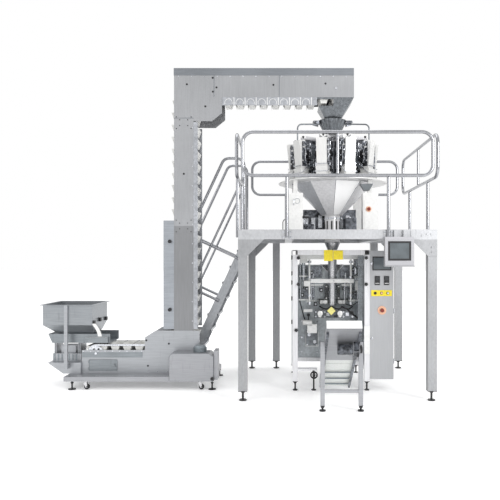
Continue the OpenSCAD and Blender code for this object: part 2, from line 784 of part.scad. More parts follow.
// A swivel fork under its top plate, with a king pin in the middle.
module caster_fork(x) {
    fork_w = caster_w + 8;
    fork_t = 3;
    placed(bright) translate([x, caster_y, 0]) {
        difference() {
            union() {
                block([-20, -fork_w / 2 - fork_t, base_z - 16], [20, fork_w / 2 + fork_t, base_z - 10]);
                for (s = [-1, 1]) translate([0, s * (fork_w + fork_t) / 2, 0])
                    plate_xz([[-20, base_z - 10], [20, base_z - 10], [16 + caster_trail - 8, caster_z - 10],
                              [caster_trail - 14, caster_z - 10]], -fork_t / 2, fork_t / 2);
            }
            disc_y(caster_trail, caster_z, -fork_w, fork_w, caster_pin + running);
        }
        translate([0, 0, base_z - 10]) cylinder(h = 10 - seat, r = 17);
    }
}

// A wheel with its axle, which turns in the fork.
module caster_wheel(x) {
    placed(black) translate([x + caster_trail, caster_y, caster_z]) {
        translate([0, caster_w / 2, 0]) rotate([90, 0, 0]) difference() {
            cylinder(h = caster_w, r = caster_r);
            for (z = [-1, caster_w - 5]) translate([0, 0, z]) difference() {
                cylinder(h = 6, r = caster_r - 8);
                translate([0, 0, -1]) cylinder(h = 8, r = 11);
            }
        }
        disc_y(0, 0, -caster_w / 2 - 12, caster_w / 2 + 12, caster_pin);
    }
}
module caster_fork_left() { caster_fork(caster_x[0]); }
module caster_fork_right() { caster_fork(caster_x[1]); }
module caster_wheel_left() { caster_wheel(caster_x[0]); }
module caster_wheel_right() { caster_wheel(caster_x[1]); }

/* ---------- Discharge and feeding ---------- */

funnel_x0 = axis_x - 235;
funnel_h = 235;
funnel_out = [108, 100];

// A four-sided funnel: its mouth and its outlet as centre and half sides, thin walled.
module square_funnel(top_c, top_half, low_c, low_half, wall) {
    for (s = [-1, 1]) {
        front = [[top_c.x - top_half.x, top_c.z], [low_c.x - low_half.x, low_c.z],
                 [low_c.x + low_half.x, low_c.z], [top_c.x + top_half.x, top_c.z]];
        side = [[top_c.y - top_half.y, top_c.z], [low_c.y - low_half.y, low_c.z],
                [low_c.y + low_half.y, low_c.z], [top_c.y + top_half.y, top_c.z]];
        intersection() {
            plate_xz(front, -2000, 2000);
            plate_yz([[top_c.y + s * (top_half.y - wall), top_c.z], [low_c.y + s * (low_half.y - wall), low_c.z],
                      [low_c.y + s * low_half.y, low_c.z], [top_c.y + s * top_half.y, top_c.z]], -4000, 4000);
        }
        intersection() {
            plate_yz(side, -4000, 4000);
            plate_xz([[top_c.x + s * (top_half.x - wall), top_c.z], [low_c.x + s * (low_half.x - wall), low_c.z],
                      [low_c.x + s * low_half.x, low_c.z], [top_c.x + s * top_half.x, top_c.z]], -2000, 2000);
        }
    }
}

module discharge_funnel() {
    top = [(funnel_x0 + head_end) / 2, 0, top_low_z - seat];
    placed(steel) difference() {
        square_funnel(top, [(head_end - funnel_x0) / 2, half_w, 0],
                      [axis_x, 0, top.z - funnel_h], [funnel_out[0], funnel_out[1], 0], 3);
        // The way in for the returning buckets.
        block([funnel_x0 - 1, -in_w + 6, top.z - bucket_h - 12], [axis_x, in_w - 6, top.z + 1]);
    }
}

hopper_wall_h = 250;
hopper_out_z = 652;
hopper_out = [230, 170];

module feed_hopper() {
    h = hopper_side / 2;
    lip = h + hopper_lip;
    t = 3;
    low_z = hopper_rim_z - hopper_wall_h;
    placed(steel) {
        difference() {
            block([hopper_x - lip, -lip, hopper_rim_z - t], [hopper_x + lip, lip, hopper_rim_z]);
            block([hopper_x - h + t, -h + t, hopper_rim_z - 2 * t], [hopper_x + h - t, h - t, hopper_rim_z + 1]);
        }
        difference() {
            block([hopper_x - h, -h, low_z], [hopper_x + h, h, hopper_rim_z - t - weld]);
            block([hopper_x - h + t, -h + t, low_z - 1], [hopper_x + h - t, h - t, hopper_rim_z]);
        }
        square_funnel([hopper_x, 0, low_z - weld], [h, h, 0],
                      [hopper_x + 45, 0, hopper_out_z], [hopper_out[0], hopper_out[1], 0], t);
    }
}

tray_x0 = -3520;
tray_x1 = -2752;
tray_z0 = 528;
tray_z1 = 640;
tray_half = 195;

module feeder_tray() {
    t = 3;
    shape = [[tray_x0, tray_z1], [tray_x0 + 50, tray_z0], [tray_x1, tray_z0], [tray_x1, tray_z1]];
    inner = [[tray_x0 + t, tray_z1 + 1], [tray_x0 + 50 + t, tray_z0 + t], [tray_x1 + 1, tray_z0 + t],
             [tray_x1 + 1, tray_z1 + 1]];
    placed(steel) {
        difference() {
            plate_xz(shape, -tray_half, tray_half);
            plate_xz(inner, -tray_half + t, tray_half - t);
        }
        // The guard blocks at the tray's outlet.
        for (s = [-1, 1]) block([tray_x1 - 300, s > 0 ? tray_half + weld : -tray_half - 28, tray_z0 + 4],
                                [tray_x1 - 20, s > 0 ? tray_half + 28 : -tray_half - weld, tray_z0 + 70]);
    }
}

stand_z = 290;

// The vibrating drive on the cabinet, with two packs of leaf springs that carry the tray.
module vibrating_drive() {
    x0 = -3490;
    x1 = -3130;
    block([x0, -130, stand_z + seat], [x1, 130, stand_z + 96]);
    block([x0 + 90, -75, stand_z + 96 + weld], [x1 - 90, 75, tray_z0 - 46]);
    for (x = [x0 + 14, x1 - 44]) for (i = [0:2])
        block([x + 11 * i, -110, stand_z + 96 + weld], [x + 11 * i + 7, 110, tray_z0 - seat]);
}

module feeder_stand() {
    y = 240;
    t = 3;
    shape = [[-3510, stand_z], [-3320, base_z + base_rail_h + seat],
             [housing_x0 - seat, base_z + base_rail_h + seat], [housing_x0 - seat, stand_z]];
    strut = [-3276, -3234];
    hopper_front = hopper_side / 2;
    placed(steel) {
        difference() {
            plate_xz(shape, -y, y);
            plate_xz([for (p = shape) [p.x + (p.x < -3300 ? 2 * t : -t), p.y + (p.y > 200 ? -t : t)]],
                     -y + t, y - t);
        }
        // The struts that carry the hopper: a foot plate on the cabinet and an upright.
        for (s = [-1, 1]) {
            block([strut[0], s > 0 ? y + seat : -hopper_front - 26, stand_z - 60],
                  [strut[1], s > 0 ? hopper_front + 26 : -y - seat, stand_z - 20]);
            block([strut[0], s > 0 ? hopper_front + seat : -hopper_front - 26, stand_z - 20 + weld],
                  [strut[1], s > 0 ? hopper_front + 26 : -hopper_front - seat,
                   hopper_rim_z - 4 - weld]);
        }
        vibrating_drive();
    }
}

/* ---------- Weigher ---------- */

ring_z = deck_z + ring_over_deck;
arm_z = ring_z + 10 + weld;
arm_h = 30;
hub_r = 220;
body_z = arm_z + arm_h + weld;
body_top = body_z + body_h - 30;
head_step = 360 / head_count;
arm_angles = [18, 90, 162, 198, 342];
stem_r = 15;
drive_x1 = 400;
drive_half = 52;
pillar = [180, 180];
pillar_x = [-480, 415];
pillar_y = 415;
pillar_h = 460;

// Places one thing at each weighing head, turned outwards along X.
module each_head() {
    for (i = [0:head_count - 1]) rotate([0, 0, head_step * (i + 0.5) - 90]) children();
}

module weigher_frame() {
    placed(white) translate([axis_x, 0, 0]) {
        for (x = pillar_x) for (sy = [-1, 1]) {
            y = sy * pillar_y;
            difference() {
                block([x - pillar[0] / 2, y - pillar[1] / 2, deck_z + seat],
                      [x + pillar[0] / 2, y + pillar[1] / 2, deck_z + pillar_h]);
                if (x > 0 && sy < 0)
                    disc_y(button_x, button_z, y - pillar[1] / 2 - 1, y - pillar[1] / 2 + 20, 9 + running);
            }
            block([x - 25, y - 25, deck_z + pillar_h + weld], [x + 25, y + 25, ring_z - weld]);
        }
        translate([0, 0, ring_z]) difference() {
            cylinder(h = 10, r = ring_r + 155);
            translate([0, 0, -1]) cylinder(h = 12, r = ring_r + seat);
        }
    }
}

// The central body on its arms, which lie between the heads.
module weigher_body() {
    translate([axis_x, 0, 0]) {
        for (a = arm_angles) rotate([0, 0, a])
            block([hub_r + weld, -20, arm_z], [ring_r + 80, 20, arm_z + arm_h]);
        translate([0, 0, arm_z]) cylinder(h = arm_h, r = hub_r);
        translate([0, 0, body_z]) difference() {
            cylinder(h = body_top - body_z, r = hub_r - 20);
            translate([0, 0, body_top - body_z - 90]) cylinder(h = 91, r = stem_r + running);
        }
    }
}

module head_drives() {
    placed(dark_steel) {
        weigher_body();
        translate([axis_x, 0, 0]) each_head() {
            block([hub_r - 20 + weld, -drive_half, body_z + 10], [drive_x1, drive_half, body_top]);
            disc_x(0, body_z + 108, drive_x1 + weld, drive_x1 + 20, 15);
        }
    }
}

module feeder_pans() {
    t = 2;
    z = body_top + seat;
    placed(bright) translate([axis_x, 0, 0]) each_head() difference() {
        block([hub_r + 20, -drive_half, z], [470, drive_half, z + 42]);
        block([hub_r + 10, -drive_half + t, z + t], [480, drive_half - t, z + 43]);
    }
}

feed_hopper_x = [452, 545];
feed_hopper_half = 62;
feed_low = ring_z + 165;
feed_lean = 6;

// One feed hopper: a tall open box that leans outwards, with its hook on the drive.
module feed_hoppers() {
    t = 2;
    h = body_top - 6 - feed_low;
    placed(bright) translate([axis_x, 0, 0]) each_head() {
        translate([feed_hopper_x[0], 0, feed_low]) rotate([0, feed_lean, 0]) difference() {
            block([0, -feed_hopper_half, 0], [feed_hopper_x[1] - feed_hopper_x[0], feed_hopper_half, h]);
            block([t, -feed_hopper_half + t, t],
                  [feed_hopper_x[1] - feed_hopper_x[0] - t, feed_hopper_half - t, h + 1]);
        }
        block([drive_x1 + seat, -25, feed_low + 6], [feed_hopper_x[0] - seat, 25, feed_low + 40]);
    }
}

weigh_hopper_x = [436, 560];
weigh_hopper_half = 70;
weigh_low = ring_z + 32;

module weigh_hoppers() {
    t = 2;
    x0 = weigh_hopper_x[0];
    x1 = weigh_hopper_x[1];
    top = feed_low - 10;
    outer = [[x0, top], [x0, weigh_low + 50], [x0 + 30, weigh_low], [x1 - 20, weigh_low], [x1, top]];
    inner = [[x0 + t, top + 1], [x0 + t, weigh_low + 50], [x0 + 30 + t, weigh_low + t],
             [x1 - 20 - t, weigh_low + t], [x1 - t, top + 1]];
    placed(bright) translate([axis_x, 0, 0]) each_head() {
        difference() {
            plate_xz(outer, -weigh_hopper_half, weigh_hopper_half);
            plate_xz(inner, -weigh_hopper_half + t, weigh_hopper_half - t);
        }
        block([drive_x1 + seat, -25, weigh_low + 66], [x0 - seat, 25, weigh_low + 100]);
    }
}

module dispersion_cone() {
    z = body_top + 46;
    placed(bright) translate([axis_x, 0, z]) {
        cylinder(h = 85, r1 = hub_r + 30, r2 = 25);
        translate([0, 0, -110]) cylinder(h = 110, r = stem_r);
    }
}

collar_h = 155;
collar_low_r = 100;
collar_z = top_low_z - seat - funnel_h - 15 - collar_h;
collar_rod_x = 470;

module infeed_collar() {
    t = 2;
    rod_r = 9;
    up = 105;
    z = collar_z + up;
    start = collar_low_r + (collar_r - collar_low_r) * (up + rod_r) / collar_h - seat;
    placed(dark_steel) translate([axis_x, 0, 0]) {
        translate([0, 0, collar_z]) rotate_extrude()
            polygon([[collar_low_r, 0], [collar_r, collar_h], [collar_r - t, collar_h], [collar_low_r - t, 0]]);
        for (s = [-1, 1]) rotate([0, 0, -18 * s])
            pipe([[s * start, 0, z], [s * collar_rod_x, 0, z - 25],
                  [s * collar_rod_x, 0, arm_z + arm_h + weld]], rod_r, 60);
    }
}

chute_low_z = deck_z + 225;
throat_low_z = spout_top + 10;

module collecting_chute() {
    t = 3;
    rim = 12;
    wide = ring_r - rim;
    petals = 10;
    wall = t / cos(180 / petals);
    fold_r = throat_r + 40;
    throat_h = chute_low_z - t - 2 * weld - throat_low_z;
    placed(bright) translate([axis_x, 0, 0]) {
        // Ten flat petals in one folded sheet, with an edge at the front.
        rotate([0, 0, 180 / petals]) difference() {
            translate([0, 0, chute_low_z])
                cylinder(h = ring_z - 4 - chute_low_z, r1 = fold_r, r2 = wide, $fn = petals);
            translate([0, 0, chute_low_z - 1])
                cylinder(h = ring_z - 2 - chute_low_z, r1 = fold_r - wall - 1, r2 = wide - wall + 1,
                         $fn = petals);
        }
        // The floor ring between the petals and the throat.
        translate([0, 0, chute_low_z - t - weld]) difference() {
            cylinder(h = t, r = fold_r);
            translate([0, 0, -1]) cylinder(h = t + 2, r = throat_r);
        }
        // The rim that hangs the chute in the base ring.
        translate([0, 0, ring_z - 4 + weld]) difference() {
            cylinder(h = rim, r = wide + rim);
            translate([0, 0, -1]) cylinder(h = rim + 2, r = wide - rim / 2);
        }
        translate([0, 0, throat_low_z]) rotate_extrude()
            polygon([[throat_r, 0], [throat_r, throat_h], [throat_r + t, throat_h], [throat_r + t, 0]]);
    }
}

button_drop = 195;
button_z = deck_z + pillar_h - button_drop;
button_x = pillar_x[1] - 25;

module weigher_stop_button() {
    x = axis_x + button_x;
    y = -pillar_y - pillar[1] / 2;
    placed(red) {
        disc_y(x, button_z, y - 30, y - 14, 20);
        disc_y(x, button_z, y - 14.1, y + 10, 9);
    }
}

/* ---------- Bagger ---------- */

bagger_x0 = -489;
bagger_x1 = 432;
bagger_y0 = -480;
bagger_y1 = bagger_y0 + bagger_d;
bagger_post_y = [bagger_y0, bagger_y1 - post_w];
bagger_leg_z = 110;
bagger_rail_h = 60;
rail_z = bagger_h - bagger_rail_h;
sill_z = 240;
sill_h = 50;
sill_foot_x = -235;
wall_y = 150;
wall_top = shoulder_z + 95;
panel_t = 2;

// The bagger's inner faces at the left and the right.
in_x0 = bagger_x0 + post_w;
in_x1 = bagger_x1 - post_w;

module bagger_frame() {
    placed(bright) {
        for (x = [bagger_x0, in_x1]) {
            for (y = bagger_post_y)
                box_tube([x, y, bagger_leg_z], [x + post_w, y + post_w, rail_z - weld], 2);
            box_tube([x, bagger_y0, rail_z], [x + post_w, bagger_y1, bagger_h], 1);
            box_tube([x, bagger_y0 + post_w + weld, sill_z],
                     [x + post_w, bagger_y1 - post_w - weld, sill_z + sill_h], 1);
        }
        for (y = bagger_post_y) {
            box_tube([in_x0 + weld, y, rail_z], [in_x1 - weld, y + post_w, bagger_h], 0);
        }
        box_tube([in_x0 + weld, bagger_post_y[1], sill_z],
                 [in_x1 - weld, bagger_post_y[1] + post_w, sill_z + sill_h], 0);
        // The short front sill with its own foot, and the sill below the inner wall.
        block([in_x0 + weld, bagger_y0, sill_z], [sill_foot_x + 40, bagger_y0 + post_w, sill_z + 24]);
        box_tube([in_x0 + weld, wall_y - 20, sill_z], [in_x1 - weld, wall_y + 30, sill_z + sill_h], 0);
    }
}

slide_w = 300;

module bagger_panels() {
    z0 = sill_z + sill_h + seat;
    z1 = rail_z - seat;
    y0 = bagger_y0 + post_w + seat;
    y1 = bagger_y1 - post_w - seat;
    placed(dark_steel) {
        for (x = [bagger_x0 + 2, bagger_x1 - 2 - panel_t]) block([x, y0, z0], [x + panel_t, y1, z1]);
        block([bagger_x0 + 2 + panel_t + seat, wall_y, z0],
              [bagger_x1 - 2 - panel_t - seat, wall_y + panel_t, wall_top]);
        // The sloping slide that takes a bag from the jaws to the conveyor.
        x0 = axis_x - slide_w / 2;
        difference() {
            plate_yz([[wall_y - seat, 520], [wall_y - seat, 466], [bagger_y0 - 20, 176],
                      [bagger_y0 - 20, 230]], x0, x0 + slide_w);
            plate_yz([[wall_y + 1, 521 + 3], [wall_y + 1, 469 + 3], [bagger_y0 - 21, 179],
                      [bagger_y0 - 21, 233]], x0 + panel_t, x0 + slide_w - panel_t);
        }
    }
}

pane_z0 = 1030;
pane_z1 = 1610;
pane_t = 6;
pane_y = bagger_y0 - seat;
pane_x0 = bagger_x0 + 34;
pane_x1 = bagger_x1 - 26;

module front_door() {
    placed(white) block([pane_x0, pane_y - pane_t, pane_z0], [pane_x1, pane_y, pane_z1]);
}

cabinet_x0 = bagger_x1 + seat;
cabinet_x1 = cabinet_x0 + cabinet_w;
cabinet_z0 = 136;
cabinet_z1 = 1670;
cabinet_front = bagger_y0 + 20;
door_t = 18;

module control_cabinet() {
    t = 2;
    placed(steel) {
        difference() {
            block([cabinet_x0, cabinet_front, cabinet_z0],
                  [cabinet_x1, cabinet_front + cabinet_d, cabinet_z1]);
            block([cabinet_x0 + t, cabinet_front - 1, cabinet_z0 + t],
                  [cabinet_x1 - t, cabinet_front + cabinet_d - t, cabinet_z1 - t]);
        }
        // The plate that the electrical parts are mounted on.
        block([cabinet_x0 + 20, cabinet_front + cabinet_d - 12, cabinet_z0 + 60],
              [cabinet_x1 - 20, cabinet_front + cabinet_d - t - weld, cabinet_z1 - 60]);
    }
}

module cabinet_door() {
    t = 2;
    y = cabinet_front - seat;
    placed(bright) difference() {
        block([cabinet_x0 + 1, y - door_t, cabinet_z0], [cabinet_x1 - 1, y, cabinet_z1]);
        block([cabinet_x0 + 1 + t, y - door_t + t, cabinet_z0 + t], [cabinet_x1 - 1 - t, y + 1, cabinet_z1 - t]);
        disc_y(switch_x, switch_z, y - door_t - 1, y, stem_hole_r);
        disc_y(stop_x, stop_z, y - door_t - 1, y, stem_hole_r);
    }
}
stem_hole_r = 11;
cabinet_face = cabinet_front - seat - door_t;
switch_x = cabinet_x0 + 65;
switch_z = 1164;
stop_x = cabinet_x0 + 145;
stop_z = 959;

module cabinet_instruments() {
    y1 = cabinet_face - weld;
    placed(black) {
        // The screen, the two temperature controllers and the plate round the switches.
        block([cabinet_x0 + 32, y1 - 8, 1435], [cabinet_x0 + 257, y1, 1600]);
        for (x = [59, 169]) block([cabinet_x0 + x, y1 - 10, 1261], [cabinet_x0 + x + 62, y1, 1368]);
        difference() {
            block([cabinet_x0 + 17, y1 - 3, 1128], [cabinet_x0 + 264, y1, 1200]);
            disc_y(switch_x, switch_z, y1 - 9, y1 + 1, stem_hole_r);
        }
        disc_y(cabinet_x0 + 140, switch_z, y1 - 12, y1 - 3 - weld, 13);
        disc_y(cabinet_x0 + 215, switch_z, y1 - 12, y1 - 3 - weld, 13);
        difference() {
            disc_y(stop_x, stop_z, y1 - 5, y1, 34);
            disc_y(stop_x, stop_z, y1 - 9, y1 + 1, stem_hole_r);
        }
    }
}

module selector_switch() {
    y = cabinet_face - 3 - weld;
    placed(black) {
        disc_y(switch_x, switch_z, y - 10, y - seat, 15);
        block([switch_x - 4, y - 20, switch_z - 15], [switch_x + 4, y - 9.9, switch_z + 15]);
        disc_y(switch_x, switch_z, y - seat, cabinet_face + 8, stem_hole_r - running);
    }
}

module emergency_stop() {
    y = cabinet_face - 5 - weld;
    placed(red) {
        disc_y(stop_x, stop_z, y - 30, y - 12, 23);
        disc_y(stop_x, stop_z, y - 12.1, cabinet_face + 8, stem_hole_r - running);
    }
}

tube_low = 983;
spout_r = 100;

module forming_tube() {
    w = tube_t;
    placed(bright) translate([axis_x, 0, 0]) {
        // The inlet spout and the tube, in one welded piece.
        rotate_extrude() polygon([
            [tube_r - w, tube_low], [tube_r, tube_low], [tube_r, tube_top], [spout_r, spout_top],
            [spout_r - w, spout_top], [tube_r - w, tube_top]
        ]);
        // The shoulder that turns the flat film round the tube, with its carrier plate.
        rotate([0, 0, 180]) difference() {
            translate([0, 0, shoulder_z]) rotate_extrude()
                polygon([[tube_r + 3, 0], [tube_r + 90, 95], [tube_r + 92, 93], [tube_r + 5, -2]]);
            block([-200, 20, shoulder_z - 10], [200, 200, shoulder_z + 120]);
        }
        difference() {
            block([-150, tube_r + 40, wall_top + seat], [150, wall_y + 60, wall_top + seat + 6]);
            translate([0, 0, shoulder_z + 90]) cylinder(h = 20, r = tube_r + 35);
        }
    }
}

bar_y = -200;
bar_z0 = 1566;
mid_z = 1275;
mid_h = 48;
rod_x = [-276, 239];
post_r = 12;
jaw_z0 = 860;
jaw_h = 60;
jaw_half = 180;
jaw_end = 225;
jaw_rod_x = 205;
front_plate_y = -262;
unit_rod_r = 12;
unit_gap = 4;
unit_rod_z = 1030;
unit_rod_y = 95;
sealer_z = 1300;
sealer_rod_r = 8;
low_bar_z = 1000;

// The fixed frame of the mechanism: its bars, its guide rods and its brackets.
module sealing_frame() {
    placed(white) {
        block([in_x0 - 40, bar_y - 15, bar_z0], [in_x1 + 40, bar_y + 15, rail_z - seat]);
        for (x = rod_x) translate([x, bar_y, low_bar_z]) cylinder(h = bar_z0 - weld - low_bar_z, r = post_r);
        // The clamp plate from the top bar to the forming tube.
        difference() {
            block([axis_x - tube_r - 20, bar_y + 15 + seat, bar_z0 + 20],
                  [axis_x + tube_r + 20, tube_r + 20, bar_z0 + 32]);
            translate([axis_x, 0, bar_z0]) cylinder(h = 60, r = tube_r + seat);
        }
        // The middle bar in front of the rods, with the hole for the long sealer's push rod.
        difference() {
            block([rod_x[0] + 12, bar_y - 36, mid_z], [rod_x[1] + 32, bar_y - post_r - seat, mid_z + mid_h]);
            disc_y(axis_x, sealer_z, bar_y - 50, bar_y, sealer_rod_r + running);
        }
        // The plate that carries the jaws' rods at the front, and its two hand knobs.
        block([axis_x - jaw_end - 20, front_plate_y, jaw_z0 - 10],
              [axis_x + jaw_end + 20, front_plate_y + 12, jaw_z0 + jaw_h + 10]);
        for (x = [-152, 95]) disc_y(x, jaw_z0 + 15, front_plate_y - 30, front_plate_y - seat, 20);
        for (s = [-1, 1]) disc_y(axis_x + s * jaw_rod_x, jaw_z0 + jaw_h / 2, front_plate_y + 12 + seat,
                                 wall_y - seat, jaw_rod_r);
        // The rod that the two pull units slide on, in its two brackets.
        disc_x(unit_rod_y, unit_rod_z, rod_x[0] + 0.5, rod_x[1] + 60, unit_rod_r);
        for (x = [rod_x[0] - 24, rod_x[1] + 60 + seat])
            block([x, unit_rod_y - 20, unit_rod_z - 20], [x + 24, wall_y - seat, unit_rod_z + 20]);
        // The coder on the inner wall.
        block([-318, -90, 470], [-160, wall_y - seat, 640]);
        block([-300, -90, 640 + weld], [-230, 40, 680]);
    }
}
belt_w = 36;
belt_z0 = 1052;
belt_z1 = 1240;

// A pull unit on the side s of the tube: its belt round two pulleys and its body.
module pull_unit(s) {
    x = axis_x + s * (tube_r + unit_gap);
    r = 20;
    placed(black) {
        // The belt loop.
        translate([x + s * r, belt_w / 2, 0]) rotate([90, 0, 0]) linear_extrude(belt_w) difference() {
            belt_outline(r);
            belt_outline(r - 6);
        }
        for (z = [belt_z0 + r, belt_z1 - r]) disc_y(x + s * r, z, -belt_w / 2 - 2, belt_w / 2 + 2, r - 6 - weld);
        for (y = [-belt_w / 2 - 8, belt_w / 2 + 2 + weld])
            block([s > 0 ? x + 4 : x - 2 * r + 4, y, belt_z0 + 4], [s > 0 ? x + 2 * r - 4 : x - 4, y + 6, belt_z1 - 4]);
    }
    placed(steel) difference() {
        block([s > 0 ? x + 6 : x - 110, -50, unit_rod_z - 30], [s > 0 ? x + 110 : x - 6, unit_rod_y + 20, belt_z0 - weld]);
        disc_x(unit_rod_y, unit_rod_z, x - 200, x + 200, unit_rod_r + running);
    }
}

// The outline of a belt round two pulleys, one above the other.
module belt_outline(r) {
    translate([0, belt_z0 + 20]) circle(r = r);
    translate([0, belt_z1 - 20]) circle(r = r);
    translate([-r, belt_z0 + 20]) square([2 * r, belt_z1 - belt_z0 - 40]);
}
module pull_unit_left() { pull_unit(-1); }
module pull_unit_right() { pull_unit(1); }

sealer_gap = 7;

module vertical_sealer() {
    y1 = -tube_r - sealer_gap;
    placed(bright) {
        block([axis_x - 12, y1 - 30, belt_z0 + 20], [axis_x + 12, y1, mid_z + mid_h + 20]);
        disc_y(axis_x, sealer_z, bar_y - 66, y1 - 29.9, sealer_rod_r);
    }
}

// A sealing jaw on the side s of the film line, with the holes for its guide rods.
module jaw(s) {
    y0 = s > 0 ? jaw_gap : -jaw_gap - 40;
    placed(bright) difference() {
        union() {
            block([axis_x - jaw_end, y0, jaw_z0], [axis_x + jaw_end, y0 + 40, jaw_z0 + jaw_h]);
            block([axis_x - jaw_half, s > 0 ? y0 - 8 : y0 + 39.9, jaw_z0 + 12],
                  [axis_x + jaw_half, s > 0 ? y0 + 0.1 : y0 + 48, jaw_z0 + jaw_h - 12]);
        }
        for (i = [-1, 1]) disc_y(axis_x + i * jaw_rod_x, jaw_z0 + jaw_h / 2, y0 - 1, y0 + 41,
                                 jaw_rod_r + running);
    }
}
module jaw_front() { jaw(-1); }
module jaw_rear() { jaw(1); }

module hoses_and_cables() {
    hose_r = 5;
    placed(black) {
        // Two air hoses from the top bar to the middle bar.
        for (x = [275, 291])
            pipe([[x, bar_y, bar_z0 - seat], [x, bar_y, 1490], [x + 44, bar_y, 1440], [x + 44, bar_y, 1390],
                  [x - 20, bar_y - 24, 1355], [x - 20, bar_y - 24, mid_z + mid_h + seat]], hose_r, 12);
        // The weigher's cable, from its left front pillar to the deck.
        pipe([[axis_x + pillar_x[0] - pillar[0] / 2 - seat, -pillar_y, deck_z + 150],
              [axis_x + pillar_x[0] - pillar[0] / 2 - 60, -pillar_y, deck_z + 150],
              [axis_x + pillar_x[0] - pillar[0] / 2 - 60, -pillar_y, deck_z + seat]], hose_r, 40);
    }
}

spindle_y = wall_y + 270;
spindle_z = 560;
dancer_y = wall_y + 120;
dancer_z = 980;
side_in = [bagger_x0 + 2 + panel_t, bagger_x1 - 2 - panel_t];

module film_spindle() {
    placed(dark_steel) {
        disc_x(spindle_y, spindle_z, side_in[0] + seat, side_in[1] - seat, 20);
        for (s = [-1, 1]) translate([axis_x - 25 + s * 190, spindle_y, spindle_z]) rotate([0, s * 90, 0])
            cylinder(h = 40, r1 = 30, r2 = 60);
    }
}

module dancer_arm() {
    arm = [dancer_y + 190, dancer_z - 110];
    placed(dark_steel) {
        disc_x(dancer_y, dancer_z, side_in[0] + seat, side_in[1] - seat, 14);
        disc_x(arm.x, arm.y, side_in[0] + 60, side_in[1] - 60, 22);
        for (x = [side_in[0] + 40, side_in[1] - 46]) hull() {
            disc_x(dancer_y, dancer_z, x, x + 6, 24);
            disc_x(arm.x, arm.y, x, x + 6, 20);
        }
        for (s = [side_in[0] + 46, side_in[1] - 60]) disc_x(arm.x, arm.y, s, s + 14, 10);
    }
}

/* ---------- Take-off conveyor ---------- */

conveyor_x = 5;
conveyor_low_y = -560;
conveyor_low_z = 112;
conveyor_leg_y = -1407;
conveyor_foot_h = 60;
side_h = 90;
side_t = 3;
belt_t = 3;
axle_r = 10;
leg_side = 44;
leg_x = conveyor_w / 2 + seat + leg_side / 2;

// Places a piece in the conveyor's own axes: X along the belt, from the low roller up.
module on_slope() {
    translate([conveyor_x, conveyor_low_y, conveyor_low_z]) rotate([0, 0, -90])
        rotate([0, -conveyor_slope, 0]) children();
}
leg_along = (conveyor_low_y - conveyor_leg_y) / cos(conveyor_slope);
leg_top = conveyor_low_z + leg_along * sin(conveyor_slope);

module conveyor_frame() {
    half = conveyor_w / 2;
    placed(steel) {
        on_slope() {
            for (s = [-half, half - side_t]) difference() {
                block([-46, s, -side_h / 2], [conveyor_l + 50, s + side_t, side_h / 2]);
                for (x = [0, conveyor_l]) translate([x, s - 1, 0]) rotate([-90, 0, 0])
                    cylinder(h = side_t + 2, r = axle_r + running);
            }
            for (x = [180:290:conveyor_l - 100])
                block([x, -half + side_t + seat, -12], [x + 30, half - side_t - seat, 12]);
            // The cover plate below the upper half, and the guard at the upper end.
            block([conveyor_l * 0.52, -half + side_t + seat, -side_h / 2],
                  [conveyor_l + 46, half - side_t - seat, -side_h / 2 + 2]);
            block([conveyor_l + 50 + weld, -half, -side_h / 2], [conveyor_l + 53, half, side_h / 2]);
            // The motor and its gearbox, hung below the cover plate.
            translate([conveyor_l * 0.8, 0, -side_h / 2 - 62]) {
                disc_y(0, 0, -50, 105, 52);
                block([-60, 105 + weld, -60], [60, 172, 61]);
                disc_y(0, 0, 172 + weld, 200, 40);
            }
        }
        // The two legs, each bolted to its side plate, and their cross bar.
        for (s = [-1, 1]) box_tube([conveyor_x + s * leg_x - leg_side / 2, conveyor_leg_y - leg_side / 2, conveyor_foot_h],
                                   [conveyor_x + s * leg_x + leg_side / 2, conveyor_leg_y + leg_side / 2, leg_top - 10], 2);
        block([conveyor_x - leg_x + leg_side / 2 + weld, conveyor_leg_y - 15, 190],
              [conveyor_x + leg_x - leg_side / 2 - weld, conveyor_leg_y + 15, 220]);
    }
}

belt_half = conveyor_w / 2 - side_t - 8;

module conveyor_belt() {
    r = roller_r + 1;
    placed(white) on_slope() {
        translate([0, belt_half, 0]) rotate([90, 0, 0]) linear_extrude(2 * belt_half) difference() {
            slope_outline(r + belt_t);
            slope_outline(r);
        }
        // The cleats on both runs.
        for (x = [100:165:conveyor_l - 60]) for (s = [-1, 1])
            block([x - 2, -belt_half + 4, s > 0 ? r + belt_t - 0.1 : -r - belt_t - 4],
                  [x + 2, belt_half - 4, s > 0 ? r + belt_t + 16 : -r - belt_t + 0.1]);
    }
}

// A belt roller at the place x along the slope, with its axle in the side plates.
module roller(x) {
    placed(dark_steel) on_slope() {
        disc_y(x, 0, -belt_half, belt_half, roller_r);
        disc_y(x, 0, -conveyor_w / 2 - 2, conveyor_w / 2 + 2, axle_r);
    }
}
module tail_roller() { roller(0); }
module head_roller() { roller(conveyor_l); }

// The outline of a belt round the conveyor's two rollers.
module slope_outline(r) {
    circle(r = r);
    translate([conveyor_l, 0]) circle(r = r);
    translate([0, -r]) square([conveyor_l, 2 * r]);
}

